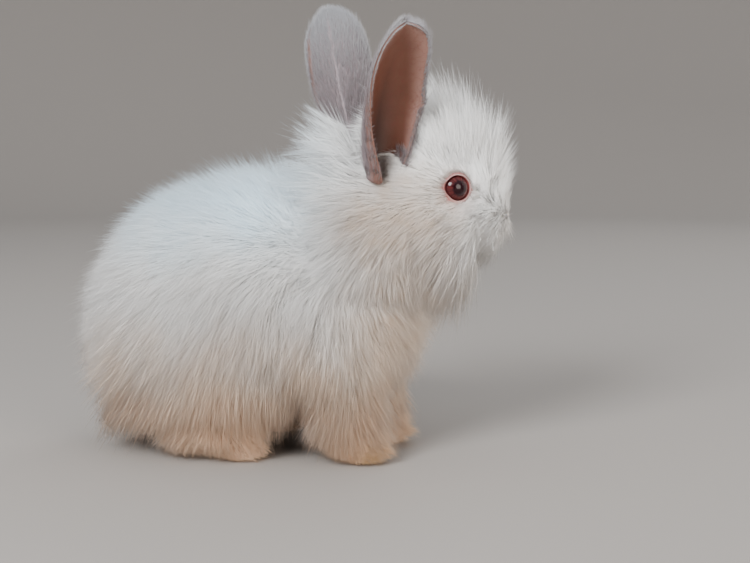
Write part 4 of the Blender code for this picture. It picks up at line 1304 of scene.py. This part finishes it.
def ear_hair(side, grid, normal):
    """Paths of the hair on one ear's back, of the fringe round its rim, and of the hair in its opening."""
    upward = unit(np.gradient(grid, axis=0))
    outward = unit(np.gradient(grid, axis=1))

    def batch(v, u, facing, lean, length, stray=0.12):
        """Bent paths: facing is 1 in the hollow and -1 on the back, lean is up, out and off the skin."""
        away = grid_points(normal, v, u) * facing
        tip_way = grid_points(upward, v, u)
        side_way = grid_points(outward, v, u) * np.sign(u - 0.5)[:, None]
        root = grid_points(grid, v, u) + away * (EAR_WALL / 2 - 0.35)
        stray = rng.normal(0, stray, root.shape)
        stray -= away * np.minimum((stray * away).sum(1, keepdims=True), 0)
        end = tip_way * lean[0] + side_way * lean[1] + away * lean[2] + stray * 2
        return bent_paths(root, end - stray + away * 0.22, end, length)

    v, u = rng.random((2, EAR_BACK_TUFTS))
    kept = ((u - 0.5) * 2 * side < 0.66) | (rng.random(len(u)) < 0.2)
    v, u = v[kept], u[kept]
    low = np.clip(1 - v / 0.35, 0, 1)
    tall = np.minimum(rng.uniform(4.0, 7.5, len(v)) + 4.0 * low, (1 - v) * EAR_LENGTH[side] + 1.2)
    back = batch(v, u, -1, (1.0, 0.10, 0.07), tall, 0.05)
    short = []
    for facing, share in ((1, 0.35), (-1, 0.65)):
        v = rng.random(int(EAR_RIM_TUFTS * share))
        u = rng.random(len(v)) ** 1.6 * (0.045 if facing > 0 else 0.10)
        u = np.where(rng.random(len(v)) < 0.5, 1 - u, u)
        kept = ((u - 0.5) * side < 0) | (v > 0.35 + 0.3 * rng.random(len(v))) | (rng.random(len(v)) < 0.15)
        v, u = v[kept], u[kept]
        length = rng.uniform(1.4, 2.5, len(v)) * (1 - 0.4 * v**3)
        short.append(batch(v, u, facing, (0.85, 0.60, 0.12), length))
        v = 1 - rng.random(EAR_TIP_TUFTS // 2) * 0.03
        u = rng.random(len(v))
        short.append(batch(v, u, facing, (0.8, 0.7, 0.10), rng.uniform(0.6, 1.2, len(v))))
    v = rng.random(EAR_FOOT_TUFTS) * 0.15
    u = 0.5 - side * (0.5 - rng.random(len(v)) * 0.20)
    long = batch(v, u, 1, (1.0, -0.15, 0.25), rng.uniform(2.0, 4.5, len(v)))
    return back[:, [0, 2]], np.concatenate(short)[:, [0, 2]], long


ears = {}
for side, word in SIDES.items():
    ear, grid, normal = ear_skin("ear_" + word + "_skin", side)
    ear.data.materials.append(EAR_FINISH)
    back, short, long = ear_hair(side, grid, normal)
    bm = bmesh.new()
    bm.from_mesh(ear.data)
    bmesh.ops.triangulate(bm, faces=bm.faces)
    ear_copy = object_from(bm, "ear_copy", smooth=True)
    ear_map = unwrapped(ear_copy, 1400)
    bpy.data.objects.remove(ear_copy)
    for name, paths, thick, finish in (
        ("coat_ear_back_" + word, back, 0.17, EAR_BACK_FINISH),
        ("coat_ear_" + word, short, 0.20, EAR_FUR_FINISH),
        ("coat_ear_opening_" + word, long, 0.22, EAR_FUR_FINISH),
    ):
        widths = thick * rng.uniform(0.7, 1.3, len(paths))
        coat += tuft_pieces(name, paths, widths, map_places(ear_map, paths[:, 0]), finish)
    ears[side] = ear

# %% [markdown]
# ## Eyes
# An albino rabbit's eye is ruby: there is no pigment, so the light that comes back is tinted by
# blood. The ball has a slightly bulging cornea. Its colours are rings round the line of sight: a dark
# pupil, a ruby iris with fine spokes, and a darker edge. The rings are worked out from the place of
# each point, so they stay put from every side, and a clear coat over them makes the eye look wet.

# %% The eyeballs
CORNEA = 0.45  # how far it bulges
PUPIL = 3.0
IRIS = 5.3


def eye_finish(side):
    """Rings of colour round the line of sight, under a clear wet coat."""
    made, tree, shader, where = new_finish("ruby_eye_" + SIDES[side])
    centre, outward = gaze(side)
    centred = vector_node(tree, "SUBTRACT", where, (centre + SHIFT) * MM)[0]
    aside = vector_node(tree, "SUBTRACT", centred, vector_node(tree, "PROJECT", centred, outward)[0])[0]
    fibres = noise(tree, vector_node(tree, "NORMALIZE", aside)[0], 11.0, 6.0)
    wobble = math_node(tree, "MULTIPLY_ADD", fibres, 0.0009, -0.00045)
    reach = math_node(tree, "ADD", vector_node(tree, "LENGTH", aside)["Value"], wobble)
    iris = mixed(tree, rising(tree, fibres, 0.35, 0.65), (0.032, 0.004, 0.005), (0.085, 0.015, 0.015))
    colour = (0.012, 0.001, 0.003)
    for low, high, beyond in (
        (PUPIL - 0.4, PUPIL + 0.6, iris),
        (IRIS - 1.0, IRIS, (0.030, 0.004, 0.006)),
        (IRIS + 0.2, IRIS + 0.8, (0.42, 0.16, 0.15)),
    ):
        colour = mixed(tree, rising(tree, reach, low * MM, high * MM), colour, beyond)
    tree.links.new(colour, shader.inputs["Base Color"])
    tree.links.new(math_node(tree, "MULTIPLY_ADD", fibres, 0.1, 0.15), shader.inputs["Roughness"])
    shader.inputs["Specular IOR Level"].default_value = 0.1
    shader.inputs["Coat Weight"].default_value = 0.7
    shader.inputs["Coat Roughness"].default_value = 0.03
    shader.inputs["Coat IOR"].default_value = 1.34
    fleshy(shader, 0.1, (0.002, 0.0006, 0.0005))
    return made


def eyeball(name, side):
    """A ball with a bulging cornea, its poles on the line of sight."""
    centre, outward = gaze(side)
    bm = bmesh.new()
    bmesh.ops.create_uvsphere(bm, u_segments=56, v_segments=40, radius=EYE_RADIUS)
    for v in bm.verts:
        slant = v.co.angle(Vector((0, 0, 1)))
        v.co *= 1 + CORNEA / EYE_RADIUS * max(0.0, 1 - (slant / 0.85) ** 2)
    aim = Vector((0, 0, 1)).rotation_difference(outward).to_matrix().to_4x4()
    bmesh.ops.transform(bm, matrix=Matrix.Translation(centre) @ aim, verts=bm.verts)
    ball = object_from(bm, name, smooth=True)
    ball.data.materials.append(eye_finish(side))
    return ball


eyes = {side: eyeball(f"eye_{word}_ball", side) for side, word in SIDES.items()}
print("eyes:", [len(e.data.polygons) for e in eyes.values()], "faces")

# %% [markdown]
# ## Lids
# The rim of the lids is a thin wet band of bare pink skin, thicker over the front of the eye, where
# the third lid lies folded. It is swept along the edge of the opening, hugging the ball.

# %% Sweep a band along each opening
LID_RADIUS = 0.58
LID_OFF_BALL = 0.42  # from the ball to the middle of the rim


def swept(name, points, radii, closed, sides=10):
    """A smooth tube along points with a radius at each, round a loop or with closed ends."""
    points = np.array(points)
    around = np.roll(points, -1, 0) - np.roll(points, 1, 0) if closed else np.gradient(points, axis=0)
    along = unit(around)
    aim = points - points.mean(0) if closed else np.roll(along, 1, 0) + np.array([0.3, 0.1, 0.9])
    first = unit(np.cross(along, aim))
    second = np.cross(along, first)
    bm = bmesh.new()
    rings = []
    for point, a, b, radius in zip(points, first, second, radii):
        turned = [2 * math.pi * k / sides for k in range(sides)]
        rings.append([bm.verts.new(point + (a * math.cos(t) + b * math.sin(t)) * radius) for t in turned])
    pairs = list(zip(rings, rings[1:] + rings[:1])) if closed else list(zip(rings, rings[1:]))
    for below, above in pairs:
        for k in range(sides):
            bm.faces.new((below[k], below[(k + 1) % sides], above[(k + 1) % sides], above[k]))
    if not closed:
        bm.faces.new(rings[0][::-1])
        bm.faces.new(rings[-1])
    bmesh.ops.recalc_face_normals(bm, faces=bm.faces)
    return object_from(bm, name, smooth=True)


def lid_finish():
    """Wet pink skin."""
    made, tree, shader, where = new_finish("lid_rim")
    blotch = noise(tree, where, 500.0, 4.0)
    colour = mixed(tree, blotch, (0.26, 0.055, 0.05), (0.15, 0.022, 0.024))
    tree.links.new(colour, shader.inputs["Base Color"])
    tree.links.new(math_node(tree, "MULTIPLY_ADD", blotch, 0.2, 0.22), shader.inputs["Roughness"])
    fleshy(shader, 0.2, (0.0015, 0.0006, 0.0004))
    shader.inputs["Coat Weight"].default_value = 0.4
    return made


LID_FINISH = lid_finish()
lids = []
for side, word in SIDES.items():
    path, radii = [], []
    for angle in [2 * math.pi * k / 72 for k in range(72)]:
        way = lid_direction(side, angle, 1.07).normalized()
        path.append((gaze(side)[0] + way * (EYE_RADIUS + LID_OFF_BALL))[:])
        fold = math.exp(-((math.degrees(angle) - 55) / 38) ** 2)
        corner = math.exp(-((math.degrees(angle) - 195) / 20) ** 2)
        radii.append(LID_RADIUS * (1 + 0.55 * fold + 0.5 * corner))
    rim = swept("lid_rim_" + word, path, radii, closed=True)
    rim.data.materials.append(LID_FINISH)
    lids.append(rim)
print("lid rims:", len(lids))

# %% [markdown]
# ## Claws
# Each toe ends in a small curved claw, mostly hidden by the fur: a tapering swept tube of pale,
# slightly pink horn.

# %% Four claws on each foot
def claw_finish():
    """Pale horn."""
    made, tree, shader, where = new_finish("claw_horn")
    grain = noise(tree, where, 700.0, 3.0)
    tree.links.new(mixed(tree, grain, (0.50, 0.36, 0.27), (0.36, 0.23, 0.17)), shader.inputs["Base Color"])
    tree.links.new(math_node(tree, "MULTIPLY_ADD", grain, 0.2, 0.3), shader.inputs["Roughness"])
    fleshy(shader, 0.15, (0.0015, 0.0008, 0.0005))
    return made


CLAW_LENGTH = 3.4
CLAW_RADIUS = 0.62
CLAW_HEIGHT = 2.6  # of its root over the floor
CLAW_DROP = 1.9  # how much lower its tip is
CLAW_FINISH = claw_finish()
claws = []
for side, word in SIDES.items():
    for kind, foot, toes in (("fore", FORE_FOOT, FORE_TOES), ("hind", HIND_FOOT, HIND_TOES)):
        for number, (x, y) in enumerate(toes):
            path, radii = [], []
            for i in range(9):
                share = i / 8
                reach = CLAW_LENGTH * share
                height = CLAW_HEIGHT - CLAW_DROP * share**1.6
                path.append((foot.x + x - 1.6 + reach, side * (foot.y + y * (1 + 0.06 * share)), height))
                radii.append(CLAW_RADIUS * (1 - share) ** 0.7 + 0.06)
            claw = swept(f"claw_{kind}_{word}_{number + 1}", path, radii, closed=False, sides=8)
            claw.data.materials.append(CLAW_FINISH)
            claws.append(claw)
print(len(claws), "claws")

# %% [markdown]
# ## Whiskers and brow hairs
# Whiskers are single stiff hairs, so a small Geometry Nodes tree makes them: one bent, tapering hair,
# set on every point of a tiny mesh, turned along the aim stored at that point and scaled a little
# differently each time. Lengths, thickness and seed are its inputs, which are easy to change later.

# %% The tree
WHISKER_LENGTH = 21.0
BROW_LENGTH = 12.0


def hair_tree():
    """Points with an aim in, hairs out."""
    tree = bpy.data.node_groups.new("single_hairs", "GeometryNodeTree")
    for name, kind in (
        ("Points", "NodeSocketGeometry"),
        ("Length", "NodeSocketFloat"),
        ("Thickness", "NodeSocketFloat"),
        ("Bend", "NodeSocketFloat"),
        ("Seed", "NodeSocketInt"),
        ("Finish", "NodeSocketMaterial"),
    ):
        tree.interface.new_socket(name, in_out="INPUT", socket_type=kind)
    tree.interface.new_socket("Hairs", in_out="OUTPUT", socket_type="NodeSocketGeometry")
    given = tree.nodes.new("NodeGroupInput").outputs

    def node(kind, links=(), **values):
        made = tree.nodes.new(kind)
        for key, value in values.items():
            setattr(made, key, value)
        for name, source in links:
            tree.links.new(source, made.inputs[name])
        return made

    middle = node("ShaderNodeCombineXYZ")
    half = node("ShaderNodeMath", [(0, given["Length"])], operation="MULTIPLY")
    half.inputs[1].default_value = 0.5
    tree.links.new(half.outputs[0], middle.inputs["Z"])
    end = node("ShaderNodeCombineXYZ", [("X", given["Bend"]), ("Z", given["Length"])])
    curve = node("GeometryNodeCurveQuadraticBezier", [("Middle", middle.outputs[0]), ("End", end.outputs[0])])
    curve.inputs["Resolution"].default_value = 7
    curve.inputs["Start"].default_value = (0, 0, 0)
    along = node("GeometryNodeSplineParameter")
    taper = node("ShaderNodeMapRange", [("Value", along.outputs["Factor"])])
    taper.inputs["To Min"].default_value = 1.0
    taper.inputs["To Max"].default_value = 0.12
    thick = node("GeometryNodeSetCurveRadius", [("Curve", curve.outputs[0]), ("Radius", taper.outputs[0])])
    profile = node("GeometryNodeCurvePrimitiveCircle", [("Radius", given["Thickness"])])
    profile.inputs["Resolution"].default_value = 5
    outline = [("Curve", thick.outputs[0]), ("Profile Curve", profile.outputs[0])]
    hair = node("GeometryNodeCurveToMesh", outline)
    hair.inputs["Fill Caps"].default_value = True
    aim = node("GeometryNodeInputNamedAttribute", data_type="FLOAT_VECTOR")
    aim.inputs["Name"].default_value = "aim"
    turned = node("FunctionNodeAlignRotationToVector", [("Vector", aim.outputs[0])], axis="Z")
    varied = node("FunctionNodeRandomValue", [("Seed", given["Seed"])], data_type="FLOAT")
    varied.inputs[2].default_value = 0.55
    varied.inputs[3].default_value = 1.0
    strewn = node(
        "GeometryNodeInstanceOnPoints",
        [("Points", given["Points"]), ("Instance", hair.outputs[0]), ("Rotation", turned.outputs[0])],
    )
    tree.links.new(varied.outputs[1], strewn.inputs["Scale"])
    real = node("GeometryNodeRealizeInstances", [("Geometry", strewn.outputs[0])])
    finish = node("GeometryNodeSetMaterial", [("Geometry", real.outputs[0]), ("Material", given["Finish"])])
    out = node("NodeGroupOutput")
    tree.links.new(finish.outputs[0], out.inputs[0])
    return tree


def single_hairs(name, roots, aims, length, thickness, bend, seed, finish):
    """A plain mesh of hairs at the roots, along the aims."""
    mesh = bpy.data.meshes.new(name)
    mesh.from_pydata([tuple(p) for p in roots], [], [])
    mesh.attributes.new("aim", "FLOAT_VECTOR", "POINT").data.foreach_set("vector", np.ravel(aims))
    obj = placed(name, mesh)
    modifier = obj.modifiers.new("hairs", "NODES")
    modifier.node_group = HAIRS
    sockets = {item.name: item.identifier for item in HAIRS.interface.items_tree if item.in_out == "INPUT"}
    values = {"Length": length, "Thickness": thickness, "Bend": bend, "Seed": seed, "Finish": finish}
    for key, value in values.items():
        modifier[sockets[key]] = value
    return applied(obj)


HAIRS = hair_tree()
whisker_finish, _, whisker_shader, _ = new_finish("whisker")
whisker_shader.inputs["Base Color"].default_value = (0.92, 0.90, 0.87, 1)
whisker_shader.inputs["Roughness"].default_value = 0.35

# %% Set the whiskers on the pads of the lips, and a few over each eye
single = []
for side, word in SIDES.items():
    roots_here, aims_here = [], []
    for row in range(4):
        for k in range(5):
            root = on_muzzle(37.5 - 1.9 * k, side * (9 + k), -5.0 - 1.9 * row + 0.5 * (k % 2))
            aim = Vector((-0.42 - 0.10 * k, side * 0.9, 0.16 - 0.25 * row)).normalized()
            roots_here.append(root - (HEAD_TURN @ aim) * 0.6)
            aims_here.append(HEAD_TURN @ aim)
    whiskers = (roots_here, aims_here, WHISKER_LENGTH, 0.09, 3.0, 5)
    single.append(single_hairs("whiskers_" + word, *whiskers, whisker_finish))
    roots_here, aims_here = [], []
    for k in range(4):
        way = lid_direction(side, math.radians(60 + 22 * k), 1.5).normalized()
        root, up, _, _ = skin_tree.find_nearest(gaze(side)[0] + way * (EYE_RADIUS + LID_WALL + 1.0))
        aim = (gaze(side)[1] * 0.6 + HEAD_TURN @ Vector((-0.5, side * 0.1, 0.8))).normalized()
        roots_here.append(root - up * 0.3)
        aims_here.append(aim)
    brows = (roots_here, aims_here, BROW_LENGTH, 0.07, 2.0, 9)
    single.append(single_hairs("brow_hairs_" + word, *brows, whisker_finish))
print([(o.name, len(o.data.polygons)) for o in single])

# %% [markdown]
# ## Put it all in place
# The skin gets its bare, pink places as an attribute of its vertices: the lines of nose and mouth and
# the edge of each lid. Then every piece is turned into metres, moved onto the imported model, and bound
# to its one body. Skin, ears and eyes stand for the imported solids, which then aren't shown.

# %% Bare places of the skin
LID_RIM = 7.5  # from the middle of an eye to the bare edge round it
LID_BARE = 1.7  # how soon that edge is furry
co = vertex_places(skin.data)
bare = np.zeros(len(co))


def bared(middle, reach, points, width, tint):
    """Makes the skin bare along some points."""
    close = near_to(co, middle, reach)
    there = tint * np.exp(-((nearest(co[close], points) / width) ** 2))
    bare[close] = np.maximum(bare[close], there)


for points, _, width, tint in LINES:
    bared(nose, MUZZLE_REACH + 4, points, 1.5 * width, tint)
for side in SIDES:
    centre = gaze(side)[0]
    around = [lid_direction(side, math.radians(10 * k)).normalized() for k in range(36)]
    bared(centre, 14, [centre + way * LID_RIM for way in around], LID_BARE, 1.0)
skin.data.attributes.new("bare", "FLOAT", "POINT").data.foreach_set("value", bare)
skin.data.polygons.foreach_set("use_smooth", np.ones(len(skin.data.polygons), dtype=bool))
skin.data.materials.clear()
skin.data.materials.append(SKIN_FINISH)
skin.name = "skin"
print(int((bare > 0.3).sum()), "bare vertices")

# %% Metres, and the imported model's own place
to_metres = Matrix.Scale(MM, 4) @ Matrix.Translation(SHIFT)
in_millimetres = [skin, *ears.values(), *eyes.values(), *lids, *claws, *single]
for piece in in_millimetres:
    piece.data.transform(to_metres)
    piece.data.update()
for piece in in_millimetres + coat:
    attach(piece, "root")
flesh = ["head", "neck", "torso", "tail"]
flesh += [f"{leg}_{word}" for leg in ("foreleg", "hindleg") for word in ("left", "right")]
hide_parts(*flesh)
for side, word in SIDES.items():
    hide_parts("ear_" + word)
    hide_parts("eye_" + word)

# %% [markdown]
# ## Floor, light and camera
# A plain pale floor and soft light from large panels, as in a museum's photograph. The key comes from
# high on the left, a warm low fill from the right, and a broad one from behind lifts the edge of the
# fur off the ground. The camera stands where the photographer's did.

# %% Floor, curved up into a wall all round
FLAT = 1.5  # metres of flat floor round the rabbit
CURVE = 0.7  # radius of the curve up into the wall
TURNS = np.arange(64) * math.pi / 32
profile = [(0.5, 0.0), (1.0, 0.0), (FLAT, 0.0)]
for a in np.linspace(0.1, math.pi / 2, 14):
    profile.append((FLAT + CURVE * math.sin(a), CURVE - CURVE * math.cos(a)))
profile.append((FLAT + CURVE, 1.3))
room = bmesh.new()
rings = []
for r, z in profile:
    rings.append([room.verts.new((r * math.cos(t), r * math.sin(t), z)) for t in TURNS])
middle = room.verts.new((0, 0, 0))
for k in range(64):
    room.faces.new((middle, rings[0][k], rings[0][(k + 1) % 64]))
    for below, above in zip(rings, rings[1:]):
        room.faces.new((below[k], above[k], above[(k + 1) % 64], below[(k + 1) % 64]))
floor = object_from(room, "floor", smooth=True)
paint, _, paint_shader, _ = new_finish("floor_paint")
paint_shader.inputs["Base Color"].default_value = (0.33, 0.30, 0.275, 1)
paint_shader.inputs["Roughness"].default_value = 0.8
floor.data.materials.append(paint)

# %% Light
TARGET = (Vector((33.5, 0, 71.2)) + SHIFT) * MM


def panel(name, place, size, power, colour):
    """A large soft light that faces the rabbit."""
    light = bpy.data.lights.new(name, "AREA")
    light.shape = "DISK"
    light.size = size
    light.energy = power
    light.color = colour
    lamp = placed(name, light)
    lamp.location = TARGET + Vector(place)
    lamp.rotation_euler = (-Vector(place)).to_track_quat("-Z", "Y").to_euler()


panel("key_light", (-0.3, -1.05, 0.70), 0.55, 25.0, (0.96, 0.98, 1.0))
panel("fill_light", (1.1, -0.8, 0.25), 0.9, 15.0, (1.0, 0.92, 0.84))
panel("back_light", (0.3, 1.2, 1.0), 0.8, 5.5, (0.95, 0.98, 1.0))
world = bpy.data.worlds.new("studio")
bpy.context.scene.world = world
world.use_nodes = True
world.node_tree.nodes["Background"].inputs["Color"].default_value = (0.88, 0.92, 0.97, 1)
world.node_tree.nodes["Background"].inputs["Strength"].default_value = 0.9

# %% Camera
CAMERA_ROUND = 15.0  # degrees from square on to the right side, towards the front
CAMERA_UP = 6.8
CAMERA_AWAY = 0.5
lens = bpy.data.cameras.new("camera")
lens.sensor_width = 36.0
lens.lens = 58.54
lens.clip_start, lens.clip_end = 0.01, 30.0
camera = placed("camera", lens)
around, above = math.radians(CAMERA_ROUND), math.radians(CAMERA_UP)
back = Vector((math.sin(around) * math.cos(above), -math.cos(around) * math.cos(above), math.sin(above)))
camera.location = TARGET + back * CAMERA_AWAY
camera.rotation_euler = (-back).to_track_quat("-Z", "Y").to_euler()
bpy.context.scene.camera = camera

# %% Print the size, and finish
print("packed box, mm:", [[round(c / MM, 1) for c in v] for v in CAD_BOX])
